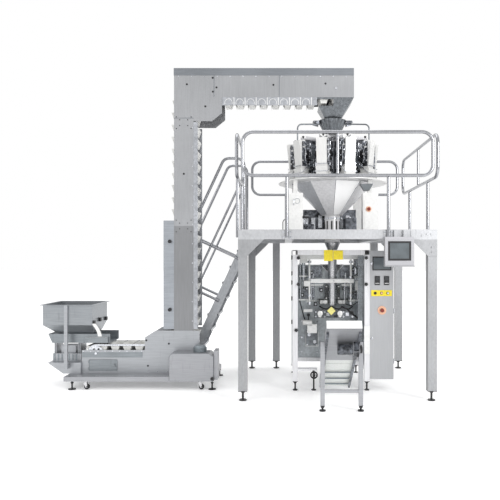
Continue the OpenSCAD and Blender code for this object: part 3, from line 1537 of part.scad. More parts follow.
platform_frame();
deck_plate();
guard_rails();
stair();
stair_handrails();
levelling_feet();
operator_screen();
elevator_side_plates();
elevator_covers();
elevator_ties();
elevator_fasteners();
elevator_buckets();
elevator_chains();
drive_shaft();
head_shaft();
tail_shaft();
lower_housing();
inspection_door();
drive_motor();
drive_cover();
elevator_base();
caster_fork_left();
caster_fork_right();
caster_wheel_left();
caster_wheel_right();
discharge_funnel();
feed_hopper();
feeder_tray();
feeder_stand();
weigher_frame();
head_drives();
feeder_pans();
feed_hoppers();
weigh_hoppers();
dispersion_cone();
infeed_collar();
collecting_chute();
weigher_stop_button();
bagger_frame();
bagger_panels();
front_door();
control_cabinet();
cabinet_door();
cabinet_instruments();
selector_switch();
emergency_stop();
forming_tube();
sealing_frame();
pull_unit_left();
pull_unit_right();
vertical_sealer();
jaw_front();
jaw_rear();
hoses_and_cables();
film_spindle();
dancer_arm();
conveyor_frame();
conveyor_belt();
head_roller();
tail_roller();
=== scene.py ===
"""Looks of a vertical form fill sealer line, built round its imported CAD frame.

The line has a Z-shaped bucket elevator with its feeder, a multihead weigher on a railed
platform, a bagger with a control cabinet and a sloping take-off conveyor.  Every CAD node
gets a finish, and small pieces that the frame leaves out are added as meshes.
"""
from __future__ import annotations

import logging
import math
from dataclasses import dataclass
from enum import Enum
from typing import Iterable, Sequence

import bmesh
import bpy
import numpy as np
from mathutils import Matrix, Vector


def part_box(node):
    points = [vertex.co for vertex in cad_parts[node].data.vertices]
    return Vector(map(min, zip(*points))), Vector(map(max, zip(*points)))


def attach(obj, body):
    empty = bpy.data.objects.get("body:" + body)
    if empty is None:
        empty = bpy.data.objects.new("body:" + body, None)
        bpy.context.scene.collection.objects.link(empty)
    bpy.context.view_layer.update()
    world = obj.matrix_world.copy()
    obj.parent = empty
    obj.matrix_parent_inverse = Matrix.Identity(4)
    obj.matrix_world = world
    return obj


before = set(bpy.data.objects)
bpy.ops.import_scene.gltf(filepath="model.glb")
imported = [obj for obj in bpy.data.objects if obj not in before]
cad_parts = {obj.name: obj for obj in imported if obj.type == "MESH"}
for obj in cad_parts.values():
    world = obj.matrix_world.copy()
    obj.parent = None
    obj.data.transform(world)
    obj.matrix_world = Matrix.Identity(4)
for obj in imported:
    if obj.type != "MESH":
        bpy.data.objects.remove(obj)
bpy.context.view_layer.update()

LOG = logging.getLogger("line")
ROOT = "packing_line"
# The row's origin, seen from the line's own places: X from the platform's middle, Y from the
# forming tube's plane.
ORIGIN = np.array([-1.2171, -0.33085, 0.0])
AXIS_X = 0.025
Point = Sequence[float]


class Axis(Enum):
    """The row axis that a shape is turned or extruded along."""

    X = 0
    Y = 1
    Z = 2


# ---------------------------------------------------------------- finishes

MADE: dict[str, bpy.types.Material] = {}


@dataclass(frozen=True)
class Finish:
    """One surface finish: a node material whose patterns lie on Object coordinates.

    The colour is a ramp between a darker and a lighter tone, led by a fine grain and a
    broad cloud of noise, and the same two lead the roughness and the bump.
    """

    name: str
    colour: tuple[float, float, float]
    metal: float = 0.0
    rough: float = 0.45
    grain: tuple[float, float, float] = (90.0, 90.0, 90.0)
    tone: float = 0.08
    cloud: float = 2.2
    bump: float = 0.08
    scuff: float = 0.0
    coat: float = 0.0
    alpha: float = 1.0
    # The next two fields scale the colour below a fixed height: painted shade where the factor is under 1,
    # painted light where it is over 1.
    light_and_shade_z: float = 0.0
    light_and_shade_factor: float = 1.0
    glow: float = 0.0
    slot: str = "stainless"

    def linear(self, factor: float) -> tuple[float, float, float, float]:
        """The sRGB colour times a factor, made linear, with full alpha."""
        srgb = np.clip(np.array(self.colour) * factor, 0.0, 1.0)
        low = srgb / 12.92
        high = ((srgb + 0.055) / 1.055) ** 2.4
        return (*np.where(srgb <= 0.04045, low, high).tolist(), 1.0)

    def material(self) -> bpy.types.Material:
        """The material of this finish, made once.

        Returns:
            A material that reads Object coordinates only.
        """
        if self.name in MADE:
            return MADE[self.name]
        made = bpy.data.materials.new(f"finish_{self.name}")
        MADE[self.name] = made
        made.use_nodes = True
        nodes, links = made.node_tree.nodes, made.node_tree.links
        shader = nodes["Principled BSDF"]
        shader.inputs["Metallic"].default_value = self.metal
        shader.inputs["Coat Weight"].default_value = self.coat
        shader.inputs["Alpha"].default_value = self.alpha
        shader.inputs["Emission Color"].default_value = (1.0, 1.0, 1.0, 1.0)
        shader.inputs["Emission Strength"].default_value = self.glow
        place = nodes.new("ShaderNodeTexCoord")
        fine = self._noise(nodes, links, place, self.grain, 3.0)
        broad = self._noise(nodes, links, place, (self.cloud,) * 3, 4.0)
        blend = self._math(nodes, links, "MULTIPLY_ADD", fine.outputs["Fac"], 0.55)
        half = self._math(nodes, links, "MULTIPLY", broad.outputs["Fac"], 0.45)
        links.new(half.outputs[0], blend.inputs[2])
        ramp = nodes.new("ShaderNodeValToRGB")
        ramp.color_ramp.elements[0].position = 0.36
        ramp.color_ramp.elements[0].color = self.linear(1.0 - self.tone)
        ramp.color_ramp.elements[1].position = 0.64
        ramp.color_ramp.elements[1].color = self.linear(1.0 + self.tone)
        links.new(blend.outputs[0], ramp.inputs["Fac"])
        colour = ramp.outputs["Color"]
        if self.scuff > 0.0:
            colour = self._scuffed(nodes, links, place, colour)
        # Painted light and shade: the colour is scaled below a fixed height.
        if self.light_and_shade_factor != 1.0:
            colour = self._painted_light_and_shade(nodes, links, place, colour)
        links.new(colour, shader.inputs["Base Color"])
        gloss = nodes.new("ShaderNodeMapRange")
        gloss.inputs["To Min"].default_value = max(0.03, self.rough - 0.08)
        gloss.inputs["To Max"].default_value = min(1.0, self.rough + 0.08)
        links.new(broad.outputs["Fac"], gloss.inputs["Value"])
        links.new(gloss.outputs["Result"], shader.inputs["Roughness"])
        relief = nodes.new("ShaderNodeBump")
        relief.inputs["Strength"].default_value = self.bump
        relief.inputs["Distance"].default_value = 0.001
        links.new(fine.outputs["Fac"], relief.inputs["Height"])
        links.new(relief.outputs["Normal"], shader.inputs["Normal"])
        return made

    def _scuffed(self, nodes: bpy.types.Nodes, links: bpy.types.NodeLinks, place: bpy.types.Node,
                 colour: bpy.types.NodeSocket) -> bpy.types.NodeSocket:
        """The colour with thin worn marks: noise above a threshold, drawn out along Z."""
        marks = self._noise(nodes, links, place, (34.0, 34.0, 5.0), 6.0)
        only = nodes.new("ShaderNodeMapRange")
        only.inputs["From Min"].default_value = 0.60
        only.inputs["From Max"].default_value = 0.72
        only.inputs["To Max"].default_value = self.scuff
        links.new(marks.outputs["Fac"], only.inputs["Value"])
        worn = nodes.new("ShaderNodeMix")
        worn.data_type = "RGBA"
        # A Mix node of colours has its own A, B and result sockets after the other kinds.
        links.new(only.outputs["Result"], worn.inputs[0])
        links.new(colour, worn.inputs[6])
        worn.inputs[7].default_value = self.linear(0.62)
        return worn.outputs[2]

    def _painted_light_and_shade(self, nodes: bpy.types.Nodes, links: bpy.types.NodeLinks, place: bpy.types.Node,
                 colour: bpy.types.NodeSocket) -> bpy.types.NodeSocket:
        """The colour times another tone below a height: painted shade where the tone is under 1, painted
        light where it is over 1.
        """
        parts = nodes.new("ShaderNodeSeparateXYZ")
        links.new(place.outputs["Object"], parts.inputs[0])
        below = nodes.new("ShaderNodeMapRange")
        below.inputs["From Min"].default_value = self.light_and_shade_z - 0.004
        below.inputs["From Max"].default_value = self.light_and_shade_z + 0.004
        below.inputs["To Min"].default_value = self.light_and_shade_factor
        below.inputs["To Max"].default_value = 1.0
        links.new(parts.outputs["Z"], below.inputs["Value"])
        toned = nodes.new("ShaderNodeVectorMath")
        toned.operation = "SCALE"
        links.new(colour, toned.inputs[0])
        links.new(below.outputs["Result"], toned.inputs["Scale"])
        return toned.outputs[0]

    @staticmethod
    def _noise(nodes: bpy.types.Nodes, links: bpy.types.NodeLinks, place: bpy.types.Node,
               cells: Point, detail: float) -> bpy.types.Node:
        """A noise whose cells per metre along X, Y and Z are given."""
        scale = nodes.new("ShaderNodeMapping")
        scale.inputs["Scale"].default_value = cells
        noise = nodes.new("ShaderNodeTexNoise")
        noise.inputs["Scale"].default_value = 1.0
        noise.inputs["Detail"].default_value = detail
        links.new(place.outputs["Object"], scale.inputs["Vector"])
        links.new(scale.outputs["Vector"], noise.inputs["Vector"])
        return noise

    @staticmethod
    def _math(nodes: bpy.types.Nodes, links: bpy.types.NodeLinks, operation: str,
              value: bpy.types.NodeSocket, factor: float) -> bpy.types.Node:
        """A Math node of the operation on a value and a factor."""
        node = nodes.new("ShaderNodeMath")
        node.operation = operation
        links.new(value, node.inputs[0])
        node.inputs[1].default_value = factor
        return node


BRUSHED_UP = (110.0, 110.0, 5.0)
BRUSHED_ALONG = (5.0, 110.0, 110.0)
SHEET_LUMPS = (36.0, 36.0, 36.0)
# The tower sheet is darker below 1.98 m: painted shade.
TOWER_SHEET = Finish("tower_sheet", (0.63, 0.635, 0.645), 0.75, 0.38, BRUSHED_UP, 0.025, scuff=0.08,
                     light_and_shade_z=1.98, light_and_shade_factor=0.70)
HOUSING_SHEET = Finish("housing_sheet", (0.65, 0.66, 0.675), 0.75, 0.40, BRUSHED_ALONG, 0.04, scuff=0.12)
TRAY_SHEET = Finish("tray_sheet", (0.53, 0.55, 0.565), 0.75, 0.36, BRUSHED_ALONG, 0.07, scuff=0.25)
# The cover sheet is lighter below 3.2 m: painted light.
COVER_SHEET = Finish("cover_sheet", (0.51, 0.525, 0.545), 0.8, 0.36, BRUSHED_ALONG, 0.05, light_and_shade_z=3.2,
                     light_and_shade_factor=1.5)
DARK_SHEET = Finish("dark_sheet", (0.43, 0.445, 0.46), 0.85, 0.28, SHEET_LUMPS, 0.16, slot="stainless_dark")
BRIGHT_SHEET = Finish("bright_sheet", (0.80, 0.80, 0.81), 0.85, 0.26, BRUSHED_UP, 0.05)
# The chute sheet is near white with little metal, so its shaded underside reads bright: painted light.
CHUTE_SHEET = Finish("chute_sheet", (0.87, 0.87, 0.875), 0.35, 0.30, SHEET_LUMPS, 0.035)
GUARD_SHEET = Finish("guard_sheet", (0.66, 0.67, 0.69), 0.7, 0.3, SHEET_LUMPS, 0.10)
# One petal sheet in three tones: the front right skins lighter and glowing, as painted light, the side skins
# darker, as painted shade.
PETAL_SHEET = Finish("petal_sheet", (0.90, 0.90, 0.905), 0.3, 0.3, SHEET_LUMPS, 0.05)
PETAL_PAINTED_LIGHT = Finish("petal_painted_light", (0.97, 0.97, 0.97), 0.05, 0.3, SHEET_LUMPS, 0.03, glow=0.10)
PETAL_PAINTED_SHADE = Finish("petal_painted_shade", (0.70, 0.71, 0.725), 0.35, 0.3, SHEET_LUMPS, 0.07)
HOPPER_SHEET = Finish("hopper_sheet", (0.58, 0.595, 0.61), 0.8, 0.36, BRUSHED_ALONG, 0.06, scuff=0.2)
BASE_STEEL = Finish("base_steel", (0.62, 0.625, 0.64), 0.7, 0.4, BRUSHED_ALONG, 0.04, scuff=0.15)
# The platform steel is darker below 1.79 m: painted shade.
PLATFORM_STEEL = Finish("platform_steel", (0.70, 0.705, 0.715), 0.6, 0.42, (60.0, 60.0, 30.0), 0.045,
                        scuff=0.12, light_and_shade_z=1.79, light_and_shade_factor=0.72)
STAIR_STEEL = Finish("stair_steel", (0.64, 0.65, 0.665), 0.7, 0.38, (60.0, 60.0, 30.0), 0.06, scuff=0.2)
SCREEN_CASE = Finish("screen_case", (0.66, 0.66, 0.675), 0.5, 0.4, BRUSHED_ALONG, 0.03)
DECK_STEEL = Finish("deck_steel", (0.72, 0.72, 0.73), 0.6, 0.45, (60.0, 60.0, 60.0), 0.10, bump=0.4,
                    scuff=0.35)
RAIL_STEEL = Finish("rail_steel", (0.60, 0.605, 0.62), 0.95, 0.2, (90.0, 90.0, 8.0), 0.07)
PANEL_STEEL = Finish("panel_steel", (0.68, 0.70, 0.715), 0.7, 0.36, SHEET_LUMPS, 0.09, scuff=0.2)
CABINET_STEEL = Finish("cabinet_steel", (0.66, 0.665, 0.675), 0.6, 0.4, BRUSHED_UP, 0.025)
FRAME_STEEL = Finish("frame_steel", (0.84, 0.84, 0.85), 0.5, 0.36, BRUSHED_UP, 0.04)
SATIN_WHITE = Finish("satin_white", (0.87, 0.87, 0.865), 0.1, 0.38, SHEET_LUMPS, 0.03, coat=0.2,
                     slot="white_painted")
HEAD_WHITE = Finish("head_white", (0.84, 0.84, 0.835), 0.2, 0.3, BRUSHED_UP, 0.03)
MACHINED = Finish("machined_steel", (0.76, 0.77, 0.79), 0.9, 0.22, (60.0, 60.0, 60.0), 0.16,
                  slot="machined_steel")
# Dark cast metal with a strong mottle of bright spots; the mottle is painted highlights standing for small
# lit parts.
DARK_CAST_AND_PAINTED_HIGHLIGHTS = Finish("dark_cast_and_painted_highlights", (0.34, 0.35, 0.37), 0.7, 0.30, (28.0, 28.0, 28.0), 0.62, bump=0.3,
                   slot="stainless_dark")
MOTOR_GREY = Finish("motor_grey", (0.52, 0.55, 0.57), 0.4, 0.45, (50.0, 50.0, 50.0), 0.10, bump=0.3,
                    slot="stainless_dark")
BUCKET_WHITE = Finish("bucket_white", (0.84, 0.84, 0.83), 0.0, 0.42, SHEET_LUMPS, 0.04, bump=0.15,
                      slot="white_plastic")
BELT_WHITE = Finish("belt_white", (0.84, 0.85, 0.84), 0.0, 0.5, (90.0, 90.0, 90.0), 0.04, bump=0.25)
BLACK_PLASTIC = Finish("black_plastic", (0.10, 0.10, 0.11), 0.0, 0.4, (160.0, 160.0, 160.0), 0.25,
                       bump=0.2, slot="black_plastic")
BLACK_RUBBER = Finish("black_rubber", (0.09, 0.09, 0.10), 0.0, 0.65, (190.0, 190.0, 190.0), 0.3, bump=0.4,
                      slot="black_rubber")
RED_PLASTIC = Finish("red_plastic", (0.47, 0.12, 0.06), 0.0, 0.35, (90.0, 90.0, 90.0), 0.15, coat=0.3)
ORANGE_PLASTIC = Finish("orange_plastic", (0.90, 0.70, 0.58), 0.0, 0.4, (90.0, 90.0, 90.0), 0.08,
                        slot="red_plastic")
YELLOW_PLATE = Finish("yellow_plate", (0.90, 0.82, 0.16), 0.0, 0.4, (60.0, 60.0, 60.0), 0.06)
PALE_YELLOW = Finish("pale_yellow_plate", (0.88, 0.85, 0.52), 0.0, 0.4, (60.0, 60.0, 60.0), 0.08,
                     slot="white_painted")
SCREEN_GLASS = Finish("screen_glass", (0.33, 0.355, 0.37), 0.0, 0.16, (12.0, 12.0, 12.0), 0.08, bump=0.0,
                      coat=0.3, slot="black_plastic")
DARK_GLASS = Finish("dark_glass", (0.14, 0.16, 0.17), 0.0, 0.12, (30.0, 30.0, 30.0), 0.15, bump=0.0,
                    coat=0.5, slot="black_plastic")
DOOR_PANE = Finish("door_pane", (0.90, 0.94, 0.95), 0.0, 0.08, (20.0, 20.0, 20.0), 0.02, bump=0.0,
                   alpha=0.015)
FLOOR_PAINT = Finish("floor_paint", (0.97, 0.97, 0.97), 0.0, 0.7, (4.0, 4.0, 4.0), 0.01, bump=0.02,
                     glow=0.22)

NODE_FINISH: dict[Finish, tuple[str, ...]] = {
    PLATFORM_STEEL: ("platform_frame",),
    STAIR_STEEL: ("stair",),
    SCREEN_CASE: ("operator_screen",),
    DECK_STEEL: ("deck_plate",),
    RAIL_STEEL: ("guard_rails", "stair_handrails"),
    BLACK_PLASTIC: ("levelling_feet", "elevator_fasteners", "cabinet_instruments", "selector_switch"),
    TOWER_SHEET: ("elevator_side_plates",),
    COVER_SHEET: ("elevator_covers",),
    MACHINED: ("elevator_ties", "elevator_chains", "drive_shaft", "head_shaft", "tail_shaft",
               "film_spindle", "dancer_arm", "head_roller", "tail_roller"),
    BUCKET_WHITE: ("elevator_buckets",),
    HOUSING_SHEET: ("lower_housing", "feeder_stand"),
    TRAY_SHEET: ("feeder_tray", "inspection_door"),
    BRIGHT_SHEET: ("feeder_pans", "dispersion_cone", "caster_fork_left",
                   "caster_fork_right", "forming_tube", "vertical_sealer", "jaw_front", "jaw_rear"),
    MOTOR_GREY: ("drive_motor",),
    BASE_STEEL: ("drive_cover", "elevator_base", "conveyor_frame"),
    BLACK_RUBBER: ("caster_wheel_left", "caster_wheel_right", "hoses_and_cables",
                   "pull_unit_left", "pull_unit_right"),
    HOPPER_SHEET: ("feed_hopper",),
    DARK_SHEET: ("discharge_funnel", "infeed_collar"),
    DARK_CAST_AND_PAINTED_HIGHLIGHTS: ("head_drives",),
    SATIN_WHITE: ("weigher_frame", "sealing_frame"),
    HEAD_WHITE: ("feed_hoppers", "weigh_hoppers"),
    CHUTE_SHEET: ("collecting_chute",),
    RED_PLASTIC: ("weigher_stop_button", "emergency_stop"),
    FRAME_STEEL: ("bagger_frame",),
    PANEL_STEEL: ("bagger_panels",),
    DOOR_PANE: ("front_door",),
    CABINET_STEEL: ("control_cabinet", "cabinet_door"),
    BELT_WHITE: ("conveyor_belt",),
}


# ---------------------------------------------------------------- shapes

@dataclass
class Shape:
    """Points, and groups of faces that each have one number of corners."""

    points: np.ndarray
    faces: list[np.ndarray]

    def moved(self, offset: Point) -> "Shape":
        """The shape at an offset."""
        return Shape(self.points + np.asarray(offset), self.faces)

    def turned(self, axis: Axis, degrees: float, about: Point = (0.0, 0.0, 0.0)) -> "Shape":
        """The shape turned about a point.

        Args:
            axis: The axis that it turns about.
            degrees: The turn by the right-hand rule.
            about: A point on the axis.

        Returns:
            A new shape: each point less the centre, times the turn, plus the centre.
        """
        a = math.radians(degrees)
        turn = np.eye(3)
        j, k = (axis.value + 1) % 3, (axis.value + 2) % 3
        turn[j, j] = turn[k, k] = math.cos(a)
        turn[j, k], turn[k, j] = -math.sin(a), math.sin(a)
        centre = np.asarray(about)
        return Shape((self.points - centre) @ turn.T + centre, self.faces)


def joined(shapes: Iterable[Shape]) -> Shape:
    """Several shapes as one: their points in a row, with each face's numbers moved on."""
    shapes = list(shapes)
    starts = np.cumsum([0] + [len(s.points) for s in shapes])
    faces = [group + start for s, start in zip(shapes, starts) for group in s.faces]
    return Shape(np.concatenate([s.points for s in shapes]), faces)


# Corners are numbered by bits: 1 for high X, 2 for high Y and 4 for high Z.
BOX_FACES = np.array([[0, 2, 3, 1], [4, 5, 7, 6], [0, 1, 5, 4], [2, 6, 7, 3], [0, 4, 6, 2], [1, 3, 7, 5]])


def box(low: Point, high: Point) -> Shape:
    """A box between two corners; each corner takes the low or high value by the bits of 0 to 7."""
    bits = (np.arange(8)[:, None] >> np.arange(3)) & 1
    points = np.where(bits == 1, np.asarray(high, float), np.asarray(low, float))
    return Shape(points, [BOX_FACES])


def grid_faces(rows: int, columns: int) -> np.ndarray:
    """Quads between neighbouring rows of a grid whose columns join up in a ring."""
    r, c = np.meshgrid(np.arange(rows - 1), np.arange(columns), indexing="ij")
    n = (c + 1) % columns
    return np.stack([r * columns + c, r * columns + n, (r + 1) * columns + n, (r + 1) * columns + c],
                    axis=-1).reshape(-1, 4)


def closed_faces(rows: int, sides: int) -> list[np.ndarray]:
    """The faces of a closed shape: quads between its rings, and a many-sided face at each end."""
    last = (rows - 1) * sides
    return [grid_faces(rows, sides), np.arange(sides)[None, ::-1], (last + np.arange(sides))[None, :]]


def span(side: int, near: float, far: float) -> tuple[float, float]:
    """Two distances from the middle plane as low and high values on one side of it."""
    low, high = sorted((side * near, side * far))
    return low, high


def to_axis(points: np.ndarray, axis: Axis) -> np.ndarray:
    """Points made along Z, with Z sent to the axis and the order of turning kept."""
    return np.roll(points, axis.value + 1, axis=-1)


def turned_piece(profile: Sequence[tuple[float, float]], centre: Point, axis: Axis,
                 sides: int = 28) -> Shape:
    """A turned piece: a profile of radius and height carried round an axis, with flat ends.

    Args:
        profile: (radius, height) pairs from the low end to the high end.
        centre: The point of height 0 on the axis.
        axis: The turning axis.
        sides: Points round the axis.

    Returns:
        A closed shape: point = (r cos t, r sin t, h), with the two ends as many-sided faces.
    """
    p = np.asarray(profile, float)
    t = np.linspace(0.0, 2.0 * math.pi, sides, endpoint=False)
    rings = np.stack([p[:, :1] * np.cos(t), p[:, :1] * np.sin(t), np.repeat(p[:, 1:], sides, 1)], axis=-1)
    points = to_axis(rings.reshape(-1, 3), axis) + np.asarray(centre)
    return Shape(points, closed_faces(len(p), sides))


def ring(profile: Sequence[tuple[float, float]], centre: Point, axis: Axis, sides: int = 36) -> Shape:
    """A ring: a closed profile of radius and height, run anticlockwise, carried round an axis."""
    p = np.asarray(profile, float)
    t = np.linspace(0.0, 2.0 * math.pi, sides, endpoint=False)
    loop = np.concatenate([p, p[:1]])
    rings = np.stack([loop[:, :1] * np.cos(t), loop[:, :1] * np.sin(t), np.repeat(loop[:, 1:], sides, 1)],
                     axis=-1)
    faces = grid_faces(len(loop), sides) % (len(p) * sides)
    return Shape(to_axis(rings[:-1].reshape(-1, 3), axis) + np.asarray(centre), [faces])


def cylinder(a: float, b: float, radius: float, centre: Point, axis: Axis, sides: int = 24,
             ease: float = 0.001) -> Shape:
    """A round bar from a to b along an axis, with its rims eased."""
    e = min(ease, radius * 0.4, abs(b - a) * 0.3)
    return turned_piece([(radius - e, a), (radius, a + e), (radius, b - e), (radius - e, b)], centre, axis,
                        sides)


def prism(outline: Sequence[tuple[float, float]], axis: Axis, low: float, high: float) -> Shape:
    """An outline carried along an axis; it is anticlockwise as seen from the axis's tip."""
    o = np.asarray(outline, float)
    n = len(o)
    ends = np.concatenate([np.column_stack([o, np.full(n, low)]), np.column_stack([o, np.full(n, high)])])
    return Shape(to_axis(ends, axis), closed_faces(2, n))


def eased(points: Sequence[Point], rounds: int = 3) -> np.ndarray:
    """A path with its corners cut: each stretch keeps its middle half, round after round."""
    path = np.asarray(points, float)
    for _ in range(rounds):
        a, b = path[:-1], path[1:]
        cut = np.stack([a * 0.75 + b * 0.25, a * 0.25 + b * 0.75], axis=1).reshape(-1, path.shape[1])
        path = np.concatenate([path[:1], cut, path[-1:]])
    return path


def tube(path: np.ndarray, radius: float, lie: Point, sides: int = 10) -> Shape:
    """A round tube along a path.

    Args:
        path: The points of its middle line.
        radius: The tube's radius.
        lie: A direction square to the whole path, so that the rings do not twist.
        sides: Points round the tube.

    Returns:
        A closed shape: point = path + r (side cos t + up sin t), where side is the path's
        direction crossed with lie, and up is side crossed with the direction.
    """
    p = np.asarray(path, float)
    way = np.gradient(p, axis=0)
    way /= np.linalg.norm(way, axis=1, keepdims=True)
    side = np.cross(way, np.asarray(lie, float))
    side /= np.linalg.norm(side, axis=1, keepdims=True)
    up = np.cross(way, side)
    t = np.linspace(0.0, 2.0 * math.pi, sides, endpoint=False)[None, :, None]
    rings = p[:, None] + radius * (side[:, None] * np.cos(t) + up[:, None] * np.sin(t))
    return Shape(rings.reshape(-1, 3), closed_faces(len(p), sides))


def bolt(centre: Point, axis: Axis, radius: float = 0.006, out: float = 1.0) -> Shape:
    """A six-sided bolt head on its washer, which stands out along the axis by the sign of out."""
    h = radius * 0.8
    washer = turned_piece([(radius * 1.45, 0.0), (radius * 1.45, radius * 0.25)], (0, 0, 0), axis, 16)
    head = turned_piece([(radius, radius * 0.25), (radius, h), (radius * 0.8, h * 1.15)], (0, 0, 0), axis, 6)
    both = joined([washer, head])
    if out < 0:
        both = both.turned(Axis((axis.value + 1) % 3), 180.0)
    return both.moved(centre)


def build(name: str, shapes: Iterable[Shape], finish: Finish, body: str = ROOT, slot: str = "",
          bevel: float = 0.0, smooth: bool = True) -> bpy.types.Object:
    """Makes one named piece and lets it ride on a body.

    Args:
        name: The piece's name.
        shapes: Its shapes, in the line's own places, in metres.
        finish: Its surface finish.
        body: The CAD body that it moves with.
        slot: The record's material slot, where it isn't the finish's own; it is not used.
        bevel: The width of its eased edges, or 0 for none.
        smooth: Whether round surfaces are shaded smooth.

    Returns:
        The new object, at the origin, with its place in its mesh.
    """
    whole = joined(shapes)
    mesh = bpy.data.meshes.new(name)
    corners = [face for group in whole.faces for face in group.tolist()]
    mesh.from_pydata((whole.points - ORIGIN).tolist(), [], corners)
    mesh.validate()
    form = bmesh.new()
    form.from_mesh(mesh)
    bmesh.ops.recalc_face_normals(form, faces=form.faces)
    form.to_mesh(mesh)
    form.free()
    piece = bpy.data.objects.new(name, mesh)
    bpy.context.scene.collection.objects.link(piece)
    if smooth:
        mesh.shade_smooth()
        mesh.set_sharp_from_angle(angle=math.radians(32.0))
    mesh.materials.append(finish.material())
    if bevel > 0.0:
        edge = piece.modifiers.new("eased_edges", "BEVEL")
        edge.width = bevel
        edge.segments = 2
        edge.limit_method = "ANGLE"
        edge.angle_limit = math.radians(40.0)
    slot = slot or finish.slot
    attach(piece, body)
    LOG.info("%s: %d points, rides on %s", name, len(whole.points), body)
    return piece


def dress_frame() -> None:
    """Gives every CAD node its finish."""
    for finish, names in NODE_FINISH.items():
        for name in names:
            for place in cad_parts[name].material_slots:
                place.material = finish.material()
    missing = set(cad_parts) - {n for names in NODE_FINISH.values() for n in names}
    LOG.info("nodes without a finish: %s", sorted(missing))


# ---------------------------------------------------------------- platform

@dataclass
class Platform:
    """Small parts of the platform, its guard rails and its stair."""

    front_y: float = -1.0
    beam_low: float = 1.7937
    beam_high: float = 1.8937
    post_x: tuple[float, ...] = (-0.56, 0.56)
    rail_offset: float = 0.0193
    rail_radius: float = 0.019
    tread_count: int = 8

    def clamps(self) -> None:
        """Two bands hold each front rail post to the beam."""
        shapes = []
        inner, outer = self.rail_radius + 0.0006, self.rail_radius + 0.003
        for x in self.post_x:
            for z in (self.beam_low + 0.040, self.beam_high - 0.016):
                shapes.append(ring([(outer, -0.008), (outer, 0.008), (inner, 0.008), (inner, -0.008)],
                                   (x, -1.0 - self.rail_offset, z), Axis.Z, 24))
        build("rail_post_clamps", shapes, RAIL_STEEL)

    def beam_bolts(self) -> None:
        """Pairs of bolts on the joint plates of the long beams."""
        shapes = []
        for x in self.post_x:
            for dx in (-0.038, 0.038):
                for z in (self.beam_low + 0.022, self.beam_high - 0.022):
                    for side in (-1, 1):
                        shapes.append(bolt((x + dx, side * 1.0064, z), Axis.Y, 0.008, side))
        build("beam_bolts", shapes, MACHINED)

    def weld_beads(self) -> None:
        """Thin round weld beads where the front legs meet the beam."""
        shapes = []
        for x in (-1.1, 1.0):
            s = np.linspace(0.0, 1.0, 26)
            path = np.stack([x + 0.1 * s, np.full(26, -1.0012), np.full(26, self.beam_low - 0.001)], axis=1)
            shapes.append(tube(path, 0.0022, (0, 0, 1), 8))
        build("leg_weld_beads", shapes, MACHINED)

    def tread_ridges(self) -> None:
        """Four low grip ridges along each tread of the stair."""
        rise = 1.9 / (self.tread_count + 1)
        shapes = []
        for i in range(1, self.tread_count + 1):
            z = i * rise
            x = -1.1003 - (1.894 - z) / math.tan(math.radians(65.0)) - 0.020
            for k in range(4):
                a = x + 0.018 + k * 0.034
                shapes.append(box((a, 0.315, z), (a + 0.010, 0.885, z + 0.003)))
        build("tread_ridges", shapes, BASE_STEEL, bevel=0.0008)

    def screen(self) -> None:
        """The operator screen's bezel, its glass and the ledge below it."""
        low, high = (np.array(v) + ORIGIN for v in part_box("operator_screen"))
        x0, x1, y = low[0], high[0], low[1]
        z0, z1 = low[2], high[2]
        a, b = (x0 + 0.032, z0 + 0.055), (x1 - 0.032, z1 - 0.048)
        t = 0.021
        frame_bars = [box((a[0], y - 0.0025, a[1]), (b[0], y + 0.0055, a[1] + t)),
                      box((a[0], y - 0.0025, b[1] - t), (b[0], y + 0.0055, b[1])),
                      box((a[0], y - 0.0025, a[1] + t), (a[0] + t, y + 0.0055, b[1] - t)),
                      box((b[0] - t, y - 0.0025, a[1] + t), (b[0], y + 0.0055, b[1] - t))]
        build("screen_bezel", frame_bars, BLACK_PLASTIC, "operator_screen", "black_plastic", 0.0015)
        build("screen_face", [box((a[0] + t, y + 0.001, a[1] + t), (b[0] - t, y + 0.0055, b[1] - t))],
              SCREEN_GLASS, "operator_screen", "black_plastic")
        build("screen_ledge", [box((x0 - 0.004, y - 0.012, z0 - 0.010), (x1 + 0.004, y + 0.070,
                                                                         z0 - 0.0004))],
              PLATFORM_STEEL, "operator_screen", "painted_grey", 0.003)

    def build(self) -> None:
        """Builds every platform piece."""
        self.clamps()
        self.beam_bolts()
        self.weld_beads()
        self.tread_ridges()
        self.screen()


# ---------------------------------------------------------------- elevator

